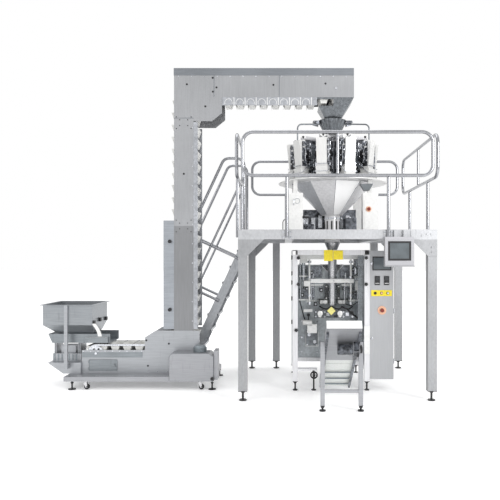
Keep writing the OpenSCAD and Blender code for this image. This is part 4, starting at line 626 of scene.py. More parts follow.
@dataclass
class Elevator:
    """Small parts of the bucket elevator's casing, its base and its feeder."""

    face_y: float = -0.2
    tower: tuple[float, float] = (-1.957, -1.715)
    top_low: float = 3.579
    head_x: float = 0.2765

    def seams(self) -> None:
        """Folded seams on the casing: raised flat strips on both faces."""
        shapes = []
        for side in (-1, 1):
            a, b = span(side, 0.2003, 0.2028)
            for z in (3.32, 3.86):
                x1 = self.tower[1] if z < 3.5 else self.head_x
                shapes.append(box((self.tower[0], a, z - 0.004), (x1, b, z + 0.004)))
            for x in (-1.46, -0.65):
                shapes.append(box((x - 0.004, a, self.top_low + 0.004), (x + 0.004, b, 3.846)))
        build("casing_seams", shapes, COVER_SHEET, slot="stainless_dark", bevel=0.0006)

    def edge_bolts(self) -> None:
        """Rows of small bolts along the top run, the tower's edges and the lower housing."""
        shapes = []
        for side in (-1, 1):
            y = side * 0.2004
            for x in np.arange(-1.90, 0.26, 0.16):
                shapes.append(bolt((x, y, 3.838), Axis.Y, 0.005, side))
            for z in np.arange(0.80, 3.2, 0.24):
                shapes.append(bolt((self.tower[1] - 0.012, y, z), Axis.Y, 0.005, side))
            for x in np.arange(-3.08, -2.36, 0.09):
                shapes.append(bolt((x, y, 0.425), Axis.Y, 0.005, side))
            for x in np.arange(-2.28, -1.66, 0.12):
                shapes.append(bolt((x, y, 0.176), Axis.Y, 0.005, side))
        build("casing_bolts", shapes, MACHINED)

    def return_fins(self) -> None:
        """White wiper fins between the returning buckets, below the top run."""
        shapes = [box((x - 0.002, -0.165, 3.507), (x + 0.002, 0.165, 3.588))
                  for x in np.arange(-1.20, -0.18, 0.15)]
        build("return_wipers", shapes, BUCKET_WHITE)
        plates, separators_and_highlights = [], []
        arc = np.linspace(math.radians(200.0), math.radians(-20.0), 18)
        for side in (-1, 1):
            a, b = span(side, 0.2005, 0.2030)
            # The strip beside the strand that comes down, on the tower's right.
            plates.append(box((-1.7145, a, 0.70), (-1.662, b, 3.270)))
        plates.append(box((-1.358, -0.2030, 3.478), (-0.180, -0.2005, 3.5775)))
        # Each cell: a white bow that is painted highlight, standing for the light on a returning bucket's
        # rounded back, and a white separator bar.
        for k in range(8):
            x = -1.280 + 0.1375 * k
            highlight_bow = np.stack([x + 0.046 * np.cos(arc), np.full(18, -0.2045), 3.508 + 0.050 * np.sin(arc)],
                           axis=1)
            separators_and_highlights.append(tube(highlight_bow, 0.003, (0, 1, 0), 6))
            separators_and_highlights.append(box((x + 0.064, -0.2045, 3.480), (x + 0.072, -0.2005, 3.576)))
        build("return_guards", plates, GUARD_SHEET, bevel=0.0006)
        build("return_separators_and_painted_highlights", separators_and_highlights, SATIN_WHITE, slot="white_plastic")

    def odd_bolts(self) -> None:
        """Larger dark bolts on the top run and the tower, front and rear."""
        places = ((-1.797, 3.739), (-1.477, 3.820), (-1.429, 3.700), (-1.474, 3.648), (-0.723, 3.732),
                  (-0.076, 3.748),
                  (-1.568, 3.465), (-1.835, 2.627), (-2.30, 0.560), (-2.02, 0.52), (-2.28, 0.245))
        shapes = [bolt((x, side * 0.2004, z), Axis.Y, 0.0085, side) for x, z in places for side in (-1, 1)]
        build("casing_dark_bolts", shapes, BLACK_PLASTIC)

    def base_parts(self) -> None:
        """The dark band along the housing's top edge and the pans that close the base."""
        bands = [box((-3.098, a, 0.348), (-2.345, b, 0.415)) for a, b in (span(-1, 0.2003, 0.2020),
                                                                          span(1, 0.2003, 0.2020))]
        build("housing_bands", bands, TRAY_SHEET, slot="stainless_dark")
        pans = [box((-3.236, -0.384, 0.1553), (-1.982, -0.2035, 0.1570)),
                box((-3.236, 0.2035, 0.1553), (-1.445, 0.384, 0.1570))]
        build("base_pans", pans, BASE_STEEL)

    def bearings(self) -> None:
        """Flanged bearings round the rear ends of the head and tail shafts."""
        shapes = []
        for x, z in ((0.055, 3.6895), (-2.925, 0.3995)):
            profile = [(0.048, 0.0), (0.048, 0.007), (0.032, 0.009), (0.030, 0.011), (0.0156, 0.011),
                       (0.0156, 0.0)]
            shapes.append(ring(profile[::-1], (x, 0.2004, z), Axis.Y, 32))
            for a in (45, 135, 225, 315):
                c = math.radians(a)
                shapes.append(bolt((x + 0.038 * math.cos(c), 0.2074, z + 0.038 * math.sin(c)), Axis.Y,
                                   0.005, 1))
        build("shaft_bearings", shapes, MOTOR_GREY)

    def cover_edges(self) -> None:
        """A dark folded lip along the drive cover's top and left edges, and its knob."""
        y = -0.4423
        a = np.linspace(math.pi, math.pi / 2, 12)
        bend = np.stack([-1.976 + 0.062 + 0.058 * np.cos(a), np.full(12, y - 0.0012), 0.440 - 0.062
                         + 0.058 * np.sin(a)],
                        axis=1)
        path = np.concatenate([[(-1.972, y - 0.0012, 0.112)], bend, [(-1.496, y - 0.0012, 0.436)],
                               [(-1.440, y - 0.0012, 0.399)], [(-1.440, y - 0.0012, 0.112)]])
        build("drive_cover_lip", [tube(path, 0.0024, (0, 1, 0), 8)], DARK_SHEET)
        knob = turned_piece([(0.010, 0.0), (0.010, 0.012), (0.020, 0.016), (0.021, 0.026), (0.014, 0.031)],
                            (0, 0, 0), Axis.Y, 20).turned(Axis.Z, 180.0)
        build("drive_cover_knob", [knob.moved((-1.452, y, 0.135))], BLACK_PLASTIC)

    def motor_parts(self) -> None:
        """The drive motor's fan cowl ring and its spokes."""
        x, y = -1.617, -0.315
        cowl = ring([(0.040, 0.0), (0.066, 0.0), (0.060, 0.010), (0.044, 0.012)], (x, y, 0.506), Axis.Z, 40)
        build("motor_cowl", [cowl], MOTOR_GREY)
        spokes = [box((-0.043, -0.003, 0.0), (0.043, 0.003, 0.006)).turned(Axis.Z, a).moved((x, y, 0.511))
                  for a in (0.0, 60.0, 120.0)]
        build("motor_cowl_spokes", spokes, DARK_CAST_AND_PAINTED_HIGHLIGHTS, bevel=0.001)

    def door_parts(self) -> None:
        """The inspection door's dark edge seal."""
        low, high = (np.array(v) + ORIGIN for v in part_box("inspection_door"))
        y = -0.2083
        seal = []
        for a, b in (((low[0] + 0.012, low[2] + 0.004), (high[0] - 0.060, low[2] + 0.008)),
                     ((low[0] + 0.012, high[2] - 0.008), (high[0] - 0.060, high[2] - 0.004)),
                     ((low[0] + 0.012, low[2] + 0.008), (low[0] + 0.016, high[2] - 0.008))):
            seal.append(box((a[0], y - 0.0022, a[1]), (b[0], y - 0.0002, b[1])))
        build("inspection_door_seal", seal, DARK_SHEET, "inspection_door", "stainless_dark")

    def hopper_trim(self) -> None:
        """A rolled edge round the feed hopper's rim, and its clamps."""
        x0, x1, y0, y1, z = -3.568, -2.912, -0.328, 0.328, 1.0075
        corners = [(x0, y0, z), (x1, y0, z), (x1, y1, z), (x0, y1, z)]
        shapes = []
        for a, b in zip(corners, corners[1:] + corners[:1]):
            shapes.append(tube(np.linspace(a, b, 12), 0.0040, (0, 0, 1), 10))
        build("hopper_rim_roll", shapes, HOPPER_SHEET)
        clamps = [box((-2.9372, y0, z0), (-2.912, y0 + 0.05, z0 + 0.045)) for y0, z0 in
                  ((-0.290, 0.768), (-0.05, 0.780), (0.20, 0.768))]
        build("hopper_clamps", clamps, BLACK_PLASTIC, bevel=0.003)

    def tray_parts(self) -> None:
        """The curved white guide between the hopper and the buckets, and the vibrator's ribs."""
        t = np.linspace(0.0, 1.0, 20)
        outer = np.stack([-2.900 + 0.075 * np.sin(t * 1.5), 0.778 - 0.155 * t], axis=1)
        inner = outer[::-1] - np.array([0.045, 0.0])
        outline = np.concatenate([outer, inner])
        # A point of the outline is X and Z, and an extrusion along Y wants Z first.
        plate = prism([(p[1], p[0]) for p in outline], Axis.Y, -0.300, -0.292)
        build("hopper_side_guide", [plate], SATIN_WHITE)
        cover = box((-3.057, -0.2022, 0.532), (-2.778, -0.1954, 0.600))
        build("tray_side_cover", [cover], SATIN_WHITE, "feeder_tray", "white_painted", 0.002)
        ribs = [box((-3.470 + 0.045 * k, -0.1345, 0.300), (-3.455 + 0.045 * k, -0.1302, 0.380))
                for k in range(7)]
        build("vibrator_ribs", ribs, MOTOR_GREY, bevel=0.001)

    def build(self) -> None:
        """Builds every elevator and feeder piece."""
        self.seams()
        self.edge_bolts()
        self.return_fins()
        self.odd_bolts()
        self.base_parts()
        self.bearings()
        self.cover_edges()
        self.motor_parts()
        self.door_parts()
        self.hopper_trim()
        self.tray_parts()


# ---------------------------------------------------------------- weigher

@dataclass
class Weigher:
    """Small parts of the multihead weigher: its heads, gates, chute and pillars."""

    heads: int = 10
    hopper_low: float = 2.552
    feed_low: float = 2.685

    def each_head(self, shape: Shape) -> list[Shape]:
        """One shape made along +X, set at every head."""
        step = 360.0 / self.heads
        return [shape.turned(Axis.Z, step * (i + 0.5) - 90.0).moved((AXIS_X, 0, 0))
                for i in range(self.heads)]

    def collar_pleats(self) -> None:
        """A pleated skirt round the infeed collar.

        Its radius grows with height along the collar's cone, and swells and shrinks round it
        as a rectified sine, sixteen times a turn.
        """
        rows, sides = 8, 192
        s = np.linspace(0.06, 0.97, rows)[:, None]
        t = np.linspace(0.0, 2.0 * math.pi, sides, endpoint=False)[None, :]
        pleat = 0.0015 + 0.0150 * np.abs(np.sin(8.0 * t)) * (0.35 + 0.65 * s)
        z = np.broadcast_to(3.1737 + 0.155 * s, (rows, sides))
        outer = 0.1012 + 0.070 * s + pleat
        inner = np.broadcast_to(0.1004 + 0.070 * s, (rows, sides))
        r = np.concatenate([outer, inner[::-1], outer[:1]])
        h = np.concatenate([z, z[::-1], z[:1]])
        angle = np.broadcast_to(t, r.shape)
        points = np.stack([r * np.cos(angle), r * np.sin(angle), h], axis=-1)[:-1].reshape(-1, 3)
        faces = grid_faces(2 * rows + 1, sides) % (2 * rows * sides)
        build("collar_pleats", [Shape(points, [faces]).moved((AXIS_X, 0, 0))], DARK_SHEET)
        wings = []
        for a in (-162.0, -18.0, 18.0, 162.0):
            wing = prism([(0.186, 3.318), (0.190, 3.268), (0.262, 3.292), (0.258, 3.312)], Axis.Y, -0.022,
                         0.022)
            flipped = Shape(wing.points[:, [2, 1, 0]] * 1.0, [f[:, ::-1] for f in wing.faces])
            wings.append(flipped.turned(Axis.Z, a).moved((AXIS_X, 0, 0)))
        build("collar_wings", wings, DARK_CAST_AND_PAINTED_HIGHLIGHTS, bevel=0.002)

    def head_parts(self) -> None:
        """The parts of each head: gate, hinge pins, drive plates, lever and top knob."""
        gates, pins, plates, knobs, levers = [], [], [], [], []
        low = self.hopper_low
        outline = [(low + 0.060, 0.560), (low + 0.006, 0.540), (low + 0.002, 0.545), (low + 0.060, 0.566)]
        gates += self.each_head(prism(outline, Axis.Y, -0.060, 0.060))
        pins += self.each_head(cylinder(-0.080, 0.080, 0.005, (0.566, 0, low + 0.062), Axis.Y, 12))
        pins += self.each_head(cylinder(-0.076, 0.076, 0.005, (0.560, 0, self.feed_low + 0.020), Axis.Y,
                                        12))
        for side in (-1, 1):
            a, b = span(side, 0.0555, 0.0595)
            plates += self.each_head(box((0.25, a, 2.60), (0.43, b, 2.98)))
            levers += self.each_head(tube(eased([(0.40, side * 0.074, 2.66), (0.47, side * 0.078, 2.70),
                                                 (0.52, side * 0.078, 2.64), (0.55, side * 0.076, 2.62)]),
                                          0.0045, (0, 1, 0), 8))
            levers += self.each_head(cylinder(0.0, 0.16, 0.009, (0.425, side * 0.064, 2.72), Axis.Z, 12))
        knobs += self.each_head(turned_piece([(0.008, 0.0), (0.009, 0.010), (0.015, 0.014), (0.015, 0.024),
                                              (0.010, 0.029)], (0.470, 0, 3.052), Axis.Z, 18))
        build("weigh_hopper_gates", gates, HEAD_WHITE)
        build("gate_pins", pins, MACHINED)
        build("head_side_plates", plates, MOTOR_GREY, bevel=0.001)
        build("head_levers", levers, MACHINED)
        build("head_knobs", knobs, BLACK_PLASTIC)

    def head_machinery(self) -> None:
        """Springs, rods, cams and bright plates on both sides of every head's drive.

        A spring's middle line is a helix: x = r cos t, y = r sin t, and z rises evenly with t.
        """
        bright, dark, white = [], [], []
        turns = np.linspace(0.0, 2.0 * math.pi * 9, 110)
        for side in (-1, 1):
            y = side * 0.068
            for x, z0, tall in ((0.335, 2.70, 0.12), (0.395, 2.83, 0.10)):
                coil = np.stack([x + 0.011 * np.cos(turns), y + 0.008 * np.sin(turns), z0
                                 + tall * turns / turns[-1]],
                                axis=1)
                bright.append(tube(coil, 0.0022, (0, 0, 1), 5))
            for x, z0, z1, r in ((0.285, 2.62, 2.93, 0.008), (0.360, 2.60, 2.80, 0.006),
                                 (0.415, 2.88, 2.99, 0.010)):
                bright.append(cylinder(z0, z1, r, (x, y, 0), Axis.Z, 12))
            a, b = span(side, 0.060, 0.076)
            for x0, z0, x1, z1 in ((0.30, 2.93, 0.42, 2.962), (0.37, 2.74, 0.44, 2.775),
                                   (0.27, 2.64, 0.34, 2.676)):
                bright.append(box((x0, a, z0), (x1, b, z1)))
            for x, z, r in ((0.31, 2.86, 0.030), (0.385, 2.68, 0.026), (0.425, 2.80, 0.018)):
                dark.append(cylinder(a, b, r, (x, 0, z), Axis.Y, 20))
                bright.append(cylinder(side * 0.076, side * 0.080, r * 0.35, (x, 0, z), Axis.Y, 10))
            white.append(box((0.402, min(a, b) - side * 0.004, 2.60), (0.432, max(a, b), 2.64)))
        bright += [box((0.404, -0.040, 2.90), (0.412, 0.040, 2.99)),
                   box((0.404, -0.020, 2.62), (0.420, 0.020, 2.67))]
        dark += [box((0.402, -0.034, 2.70), (0.432, 0.034, 2.76)),
                 box((0.402, -0.026, 2.82), (0.428, 0.026, 2.87))]
        backing = []
        for side in (-1, 1):
            a, b = span(side, 0.0626, 0.0634)
            backing.append(box((0.460, a, 2.70), (0.536, b, 3.005)))
            for k in range(15):
                x, z = 0.468 + 0.0145 * ((k * 3) % 5), 2.708 + 0.0205 * k
                dx, dz, out = 0.008 + 0.003 * (k % 3), 0.006 + 0.003 * ((k * 2) % 3), 0.068 + 0.005 * (k % 3)
                a, b = span(side, 0.0636, out)
                (bright, dark, bright, white)[k % 4].append(box((x - dx, a, z - dz), (x + dx, b, z + dz)))
            rod = [(0.465, side * 0.070, 2.72), (0.50, side * 0.074, 2.80), (0.48, side * 0.074, 2.88),
                   (0.525, side * 0.070, 2.99)]
            bright.append(tube(eased(rod), 0.004, (0.0, 1.0, 0.1), 6))
        build("hopper_side_backings", [copy for shape in backing for copy in self.each_head(shape)],
              DARK_CAST_AND_PAINTED_HIGHLIGHTS)
        for x, y, z, dx, dz in ((0.43, 0.075, 2.93, 0.05, 0.03), (0.46, 0.078, 2.86, 0.03, 0.05),
                                (0.44, 0.076, 2.78, 0.04, 0.03),
                                (0.47, 0.080, 2.71, 0.03, 0.04), (0.43, 0.074, 2.64, 0.03, 0.03)):
            for side in (-1, 1):
                a, b = span(side, y, y + 0.014)
                target = bright if (round(z * 100) % 2) else dark
                target.append(box((x - dx / 2, a, z - dz / 2), (x + dx / 2, b, z + dz / 2)))
                dark.append(cylinder(b - 0.001, b + 0.010, dz * 0.22, (x, 0, z), Axis.Y, 12))
        for name, shapes, finish, slot in (("head_springs_and_rods", bright, MACHINED, "machined_steel"),
                                           ("head_cams", dark, BLACK_PLASTIC, "black_plastic"),
                                           ("head_blocks", white, HEAD_WHITE, "stainless")):
            build(name, [copy for shape in shapes for copy in self.each_head(shape)], finish, slot=slot)

    def hopper_edges(self) -> None:
        """Flat stiffening bands round the weigh hoppers."""
        bands = []
        x0, x1, half = 0.4345, 0.5615, 0.0712
        for a, b in (((x0, -half - 0.002), (x1, -half)), ((x0, half), (x1, half + 0.002)),
                     ((x1 - 0.001, -half), (x1 + 0.001, half))):
            bands += self.each_head(box((a[0], a[1], 2.660), (b[0], b[1], 2.672)))
        build("hopper_bands", bands, HEAD_WHITE, bevel=0.0005)

    def chute_parts(self) -> None:
        """Weld lines on the chute's folds, a skin on each petal in one of three tones of painted light and
        shade, and the throat's slots and clamp.

        A petal's corner radius grows evenly with height, and its flat lies at that radius
        times the cosine of half a petal's angle.
        """
        step = 36.0
        low_r, low_z, high_r, high_z = 0.135, 2.125, 0.518, 2.516
        folds, slots = [], []
        for i in range(10):
            path = np.stack([np.linspace(0.1365, 0.5165, 30), np.zeros(30),
                             np.linspace(2.126, 2.513, 30)], axis=1)
            folds.append(tube(path, 0.0022, (0, 1, 0), 6).turned(Axis.Z, 18.0
                                                                 + step * i).moved((AXIS_X, 0, 0)))
            slot = box((0.0975, -0.010, 1.915), (0.1000, 0.010, 2.050))
            slots.append(slot.turned(Axis.Z, step * i + 9.0).moved((AXIS_X, 0, 0)))
        build("chute_fold_welds", folds, MACHINED)
        # Each group of petal skins takes its tone of painted light and shade.
        for name, index, finish in (("petals_front_left", (6, 0, 1), PETAL_SHEET),
                                    ("petals_front_right", (7, 2, 3), PETAL_PAINTED_LIGHT),
                                    ("petals_side", (4, 5, 9), PETAL_PAINTED_SHADE), ("petals_right", (8,),
                                                                              PETAL_SHEET)):
            skins = []
            for i in index:
                ends = []
                for z in (2.132, 2.508):
                    r = low_r + (high_r - low_r) * (z - low_z) / (high_z - low_z)
                    chord = r * math.cos(math.pi / 10)
                    mid = math.radians(18.0 + step * (i + 0.5))
                    half = r * math.sin(math.pi / 10) * 0.965
                    for out in (0.0006, 0.0018):
                        for side in (-1, 1):
                            ends.append(((chord + out) * math.cos(mid) - side * half * math.sin(mid),
                                         (chord + out) * math.sin(mid) + side * half * math.cos(mid), z))
                skins.append(Shape(np.array(ends), [BOX_FACES]).moved((AXIS_X, 0, 0)))
            build(name, skins, finish)
        build("throat_slots", slots, BLACK_PLASTIC)
        clamp = ring([(0.0985, -0.012), (0.104, -0.012), (0.104, 0.012), (0.0985, 0.012)],
                     (AXIS_X, 0, 2.085),
                     Axis.Z, 48)
        build("throat_clamp", [clamp], MACHINED)

    def pillar_parts(self) -> None:
        """The pillars' cover plates, handle and dial ring, the stop button's ring, the control box and its
        plates, a drip tray and a cable clamp.
        """
        y = -0.5052
        covers = [box((-0.530, y - 0.0024, 1.925), (-0.380, y, 2.335)), box((0.365, y - 0.0024, 1.925),
                                                                             (0.515, y, 2.255))]
        build("pillar_covers", covers, SATIN_WHITE, bevel=0.001)
        handle = tube(eased([(-0.475, y - 0.002, 2.215), (-0.475, y - 0.030, 2.225),
                             (-0.475, y - 0.030, 2.275),
                             (-0.475, y - 0.002, 2.285)]), 0.0055, (1, 0, 0), 10)
        build("pillar_handle", [handle], MACHINED)
        button = ring([(0.0105, -0.0055), (0.034, -0.003), (0.034, 0.0), (0.0105, 0.0)],
                      (0.415, -0.5075, 2.165), Axis.Y, 32)
        build("weigher_stop_ring", [button], ORANGE_PLASTIC)
        block = [box((-0.355, 0.232, 1.9025), (0.355, 0.318, 2.215)),
                 box((-0.345, 0.10, 1.9025), (-0.205, 0.231, 2.02)),
                 box((0.20, 0.08, 1.9025), (0.345, 0.231, 2.10))]
        build("weigher_control_box", block, DARK_CAST_AND_PAINTED_HIGHLIGHTS, bevel=0.006)
        bright = [box((-0.32 + 0.09 * k, 0.2260, 1.94 + 0.02 * (k % 3)),
                      (-0.27 + 0.09 * k, 0.2318, 2.14 - 0.03 * (k % 2)))
                  for k in range(8)]
        bright += [cylinder(1.9035, 2.12, 0.012, (x, 0.205, 0), Axis.Z, 14)
                   for x in (-0.33, -0.29, 0.16, 0.27)]
        build("weigher_control_plates", bright, MACHINED, bevel=0.001)
        small = turned_piece([(0.045, 2.390), (0.105, 2.470)], (0.40, -0.415, 0), Axis.Z, 4)
        build("side_drip_tray", [small.turned(Axis.Z, 45.0, (0.40, -0.415, 0))], TRAY_SHEET)
        clip = [box((-0.372, -0.512, 2.055), (-0.300, -0.470, 2.082))]
        build("cable_clamp", clip, BLACK_PLASTIC, bevel=0.003)
        dial = [ring([(0.028, -0.003), (0.032, -0.003), (0.032, 0.0), (0.028, 0.0)],
                     (-0.435, -0.5078, 2.262), Axis.Y, 32)]
        build("pillar_dial_ring", dial, MOTOR_GREY)

    def build(self) -> None:
        """Builds every weigher piece."""
        self.collar_pleats()
        self.head_parts()
        self.head_machinery()
        self.hopper_edges()
        self.chute_parts()
        self.pillar_parts()


# ---------------------------------------------------------------- bagger

@dataclass
class Bagger:
    """Small parts of the bagger: knobs, hinges, cylinders, brackets and plain label plates."""

    front_y: float = -0.48

    def knob(self, x: float, z: float, radius: float = 0.021) -> Shape:
        """A black star knob facing the front: its rim swells and shrinks round the axis."""
        t = np.linspace(0.0, 2.0 * math.pi, 40, endpoint=False)
        lobes = 1.0 - 0.10 * np.cos(5.0 * t)
        rows = [(0.45, 0.0), (0.45, 0.008), (0.95, 0.010), (1.0, 0.016), (0.9, 0.024), (0.5, 0.027)]
        rings = np.stack([np.stack([r * radius * lobes * np.cos(t), r * radius * lobes * np.sin(t),
                                    np.full(40, h)], axis=1) for r, h in rows])
        shape = Shape(to_axis(rings.reshape(-1, 3), Axis.Y), closed_faces(len(rows), 40))
        return shape.turned(Axis.Z, 180.0).moved((x, self.front_y - 0.0066, z))

    def door_parts(self) -> None:
        """Star knobs of the clear front door and one on the frame, and the hinges of the left side cover."""
        fixed = [self.knob(-0.446, 0.722).moved((0, 0.0064, 0))]
        door = [self.knob(-0.420, 1.585), self.knob(-0.420, 1.270), self.knob(0.388, 1.585),
                self.knob(0.388, 1.270)]
        build("door_knobs", door, BLACK_PLASTIC, "front_door", "black_plastic")
        build("frame_knobs", fixed, BLACK_PLASTIC)
        hinges = []
        for z in (1.59, 1.40, 1.29, 1.10, 0.82):
            hinges.append(box((-0.503, -0.470, z - 0.022), (-0.4892, -0.436, z + 0.022)))
            hinges.append(cylinder(z - 0.026, z + 0.026, 0.006, (-0.500, -0.475, 0), Axis.Z, 14))
        build("side_cover_hinges", hinges, BLACK_PLASTIC, bevel=0.0015)

    def labels(self) -> None:
        """Plain yellow plates with nothing on them."""
        y = -0.4880
        build("top_plates", [box((-0.115, y, 1.5475), (-0.008, y + 0.0015, 1.678)),
                             box((-0.004, y, 1.5640), (0.112, y + 0.0015, 1.674))],
              YELLOW_PLATE, "front_door", "white_painted", 0.0005)
        build("middle_plate", [turned_piece([(0.052, -0.0012), (0.052, 0.0012)], (-0.012, -0.300, 0.935),
                                            Axis.Y, 4)],
              PALE_YELLOW)

    def top_parts(self) -> None:
        """Brackets, air cylinders and clamps round the forming tube."""
        bars = [box((-0.345, -0.232, 1.232), (-0.270, -0.150, 1.300)),
                box((-0.395, -0.180, 1.520), (-0.300, -0.120, 1.600)),
                box((0.300, -0.170, 1.180), (0.356, -0.110, 1.300))]
        build("side_brackets", bars, SATIN_WHITE, bevel=0.002)
        clamps = []
        for x in (-0.276, 0.239):
            for z in (1.535, 1.345, 1.120, 1.020):
                clamps.append(ring([(0.0126, -0.014), (0.024, -0.014), (0.024, 0.014), (0.0126, 0.014)],
                                   (x, -0.2, z), Axis.Z, 24))
        build("rod_clamps", clamps, MACHINED)
        tanks = []
        for x, y, z0, z1, r in ((-0.345, -0.06, 1.300, 1.540, 0.026), (-0.385, -0.02, 1.320, 1.500, 0.020),
                                (0.318, -0.05, 1.330, 1.560, 0.024), (-0.22, 0.05, 1.200, 1.380, 0.020),
                                (0.20, 0.05, 1.190, 1.370, 0.020)):
            tanks.append(turned_piece([(r * 0.6, z0 - 0.02), (r * 0.6, z0), (r, z0), (r, z0 + 0.02),
                                       (r * 0.92, z0 + 0.022),
                                       (r * 0.92, z1 - 0.022), (r, z1 - 0.02), (r, z1), (r * 0.5, z1),
                                       (r * 0.5, z1 + 0.02)], (x, y, 0), Axis.Z, 24))
        build("air_cylinders", tanks, MACHINED)
        bodies = [box((-0.30, 0.060, 1.330), (-0.10, 0.146, 1.480)),
                  box((0.130, 0.060, 1.330), (0.32, 0.146, 1.480)),
                  box((-0.40, 0.050, 1.060), (-0.20, 0.146, 1.190)), box((0.22, 0.050, 1.060),
                                                                         (0.36, 0.146, 1.200))]
        build("drive_boxes", bodies, DARK_CAST_AND_PAINTED_HIGHLIGHTS, bevel=0.006)

    def pull_parts(self) -> None:
        """Pulley hubs, motor ends and adjusting knobs on the two pull units."""
        for side, body in ((-1, "pull_unit_left"), (1, "pull_unit_right")):
            x = AXIS_X + side * 0.079
            parts = []
            for z in (1.072, 1.220):
                parts.append(turned_piece([(0.010, 0.0), (0.010, 0.010), (0.007, 0.013)], (0, 0, 0),
                                          Axis.Y, 18)
                             .turned(Axis.Z, 180.0).moved((x, -0.026, z)))
            a, b = sorted((AXIS_X + side * 0.068, AXIS_X + side * 0.160))
            parts.append(box((a, -0.060, 1.004), (b, -0.0502, 1.048)))
            build(f"{body}_caps", parts, HEAD_WHITE, body, bevel=0.001)
            wheel = turned_piece([(0.008, 0.0), (0.008, 0.012), (0.024, 0.016), (0.026, 0.028),
                                  (0.014, 0.034)],
                                 (0, 0, 0), Axis.Y, 26).turned(Axis.Z, 180.0)
            build(f"{body}_knob", [wheel.moved((AXIS_X + side * 0.096, -0.060, 1.026))], HEAD_WHITE, body)

    def jaw_parts(self) -> None:
        """Cartridge heaters and bolts on the two sealing jaws, and two springs on the jaw rods."""
        for name, y0, y1, out in (("jaw_front", -0.075, -0.035, -1), ("jaw_rear", 0.035, 0.075, 1)):
            bolts = [bolt((AXIS_X + x, y0 if out < 0 else y1, 0.890), Axis.Y, 0.008, out)
                     for x in (-0.16, -0.06, 0.06, 0.16)]
            heater = [cylinder(0.2252, 0.243, 0.008, (AXIS_X, (y0 + y1) / 2, 0.905), Axis.X, 16)]
            build(f"{name}_bolts", bolts, MACHINED, name, "machined_steel")
            build(f"{name}_heater", heater, BLACK_PLASTIC, name, "black_plastic")
        springs = []
        t = np.linspace(0.0, 2.0 * math.pi * 7, 140)
        for side in (-1, 1):
            path = np.stack([AXIS_X + side * 0.205 + 0.0165 * np.cos(t), -0.245 + 0.15 * t / t[-1],
                             0.890 + 0.0165 * np.sin(t)], axis=1)
            springs.append(tube(path, 0.002, (0, 1, 0), 6))
        build("jaw_rod_springs", springs, MACHINED)

    def guard_parts(self) -> None:
        """A steel cover over the white jaw guard, with bolts, slots and two round white knobs."""
        y = -0.2642
        build("jaw_guard_cover", [box((-0.222, y, 0.846), (0.272, y + 0.0018, 0.934))], DARK_SHEET,
              bevel=0.0006)
        bright = [bolt((x, y - 0.0002, z), Axis.Y, 0.008, -1) for x in (-0.20, -0.09, 0.14, 0.25)
                  for z in (0.862, 0.918)]
        bright += [box((x, y - 0.012, 0.872), (x + 0.040, y - 0.0003, 0.912)) for x in (-0.070, 0.165)]
        build("jaw_guard_bolts", bright, MACHINED)
        dark = [box((0.02, y - 0.010, 0.852), (0.065, y - 0.0003, 0.880)), box((0.215, y - 0.014, 0.885),
                                                                               (0.262, y - 0.0003, 0.928))]
        for x in (-0.15, 0.0, 0.12):
            dark.append(tube(eased([(x, -0.20, 0.985), (x + 0.03, -0.24, 0.965), (x + 0.09, -0.25, 0.95),
                                    (x + 0.14, -0.22, 0.985)]), 0.008, (0.1, 1.0, 0.0), 10))
        dark.append(tube(eased([(0.19, -0.27, 0.952), (0.24, -0.28, 0.90), (0.30, -0.28, 0.86),
                                (0.345, -0.26, 0.80)]),
                         0.012, (0.0, 1.0, 0.0), 10))
        build("jaw_guard_dark_parts", dark, BLACK_PLASTIC, bevel=0.001)
        knobs = [turned_piece([(0.012, 0.0), (0.012, 0.010), (0.030, 0.014), (0.032, 0.024),
                               (0.018, 0.030)], (0, 0, 0),
                              Axis.Y, 28).turned(Axis.Z,
                                                 180.0).moved((x, -0.285, 0.905)) for x in (-0.150, 0.093)]
        build("jaw_guard_knobs", knobs, HEAD_WHITE)
        build("guide_end", [box((0.318, -0.300, 0.800), (0.366, -0.262, 0.838))], SATIN_WHITE,
              bevel=0.004)

    def tangle(self) -> None:
        """Valves, pipes and small brackets that fill the bay round the forming tube."""
        bright, dark, white = [], [], []
        t = np.linspace(0.0, 2.0 * math.pi * 8, 120)
        for x in (-0.215, -0.165, 0.200, 0.255):
            coil = np.stack([x + 0.010 * np.cos(t), -0.10 + 0.010 * np.sin(t), 1.09 + 0.11 * t / t[-1]],
                            axis=1)
            bright.append(tube(coil, 0.0022, (0, 0, 1), 5))
        for x, z in ((-0.33, 1.42), (-0.24, 1.40), (0.285, 1.44), (0.335, 1.38), (-0.30, 1.20),
                     (-0.12, 1.18),
                     (0.17, 1.20), (0.31, 1.14), (-0.36, 1.12), (-0.19, 1.005)):
            dark.append(box((x - 0.022, -0.030, z - 0.030), (x + 0.022, 0.030, z + 0.020)))
            bright.append(cylinder(-0.055, -0.0302, 0.010, (x, 0, z - 0.006), Axis.Y, 14))
            bright.append(cylinder(z + 0.0202, z + 0.040, 0.006, (x, 0.0, 0), Axis.Z, 10))
        for x0, x1, z, y in ((-0.40, -0.28, 1.355, -0.16), (0.245, 0.355, 1.345, -0.16),
                             (-0.26, -0.10, 1.245, -0.14),
                             (0.13, 0.24, 1.245, -0.14), (-0.41, -0.30, 1.06, -0.14), (0.22, 0.35, 1.05,
                                                                                       -0.14)):
            white.append(box((x0, y - 0.008, z - 0.008), (x1, y + 0.008, z + 0.008)))
        for x in (-0.385, -0.245, 0.175, 0.335):
            bright.append(cylinder(1.05, 1.33, 0.007, (x, -0.085, 0), Axis.Z, 12))
        build("bay_springs_and_rods", bright, MACHINED)
        build("bay_valves", dark, BLACK_PLASTIC, bevel=0.002)
        build("bay_brackets", white, HEAD_WHITE, bevel=0.001)
        strip = box((0.3005, -0.40, 0.60), (0.3685, -0.398, 1.612))
        build("inner_right_strip", [strip], DARK_SHEET)

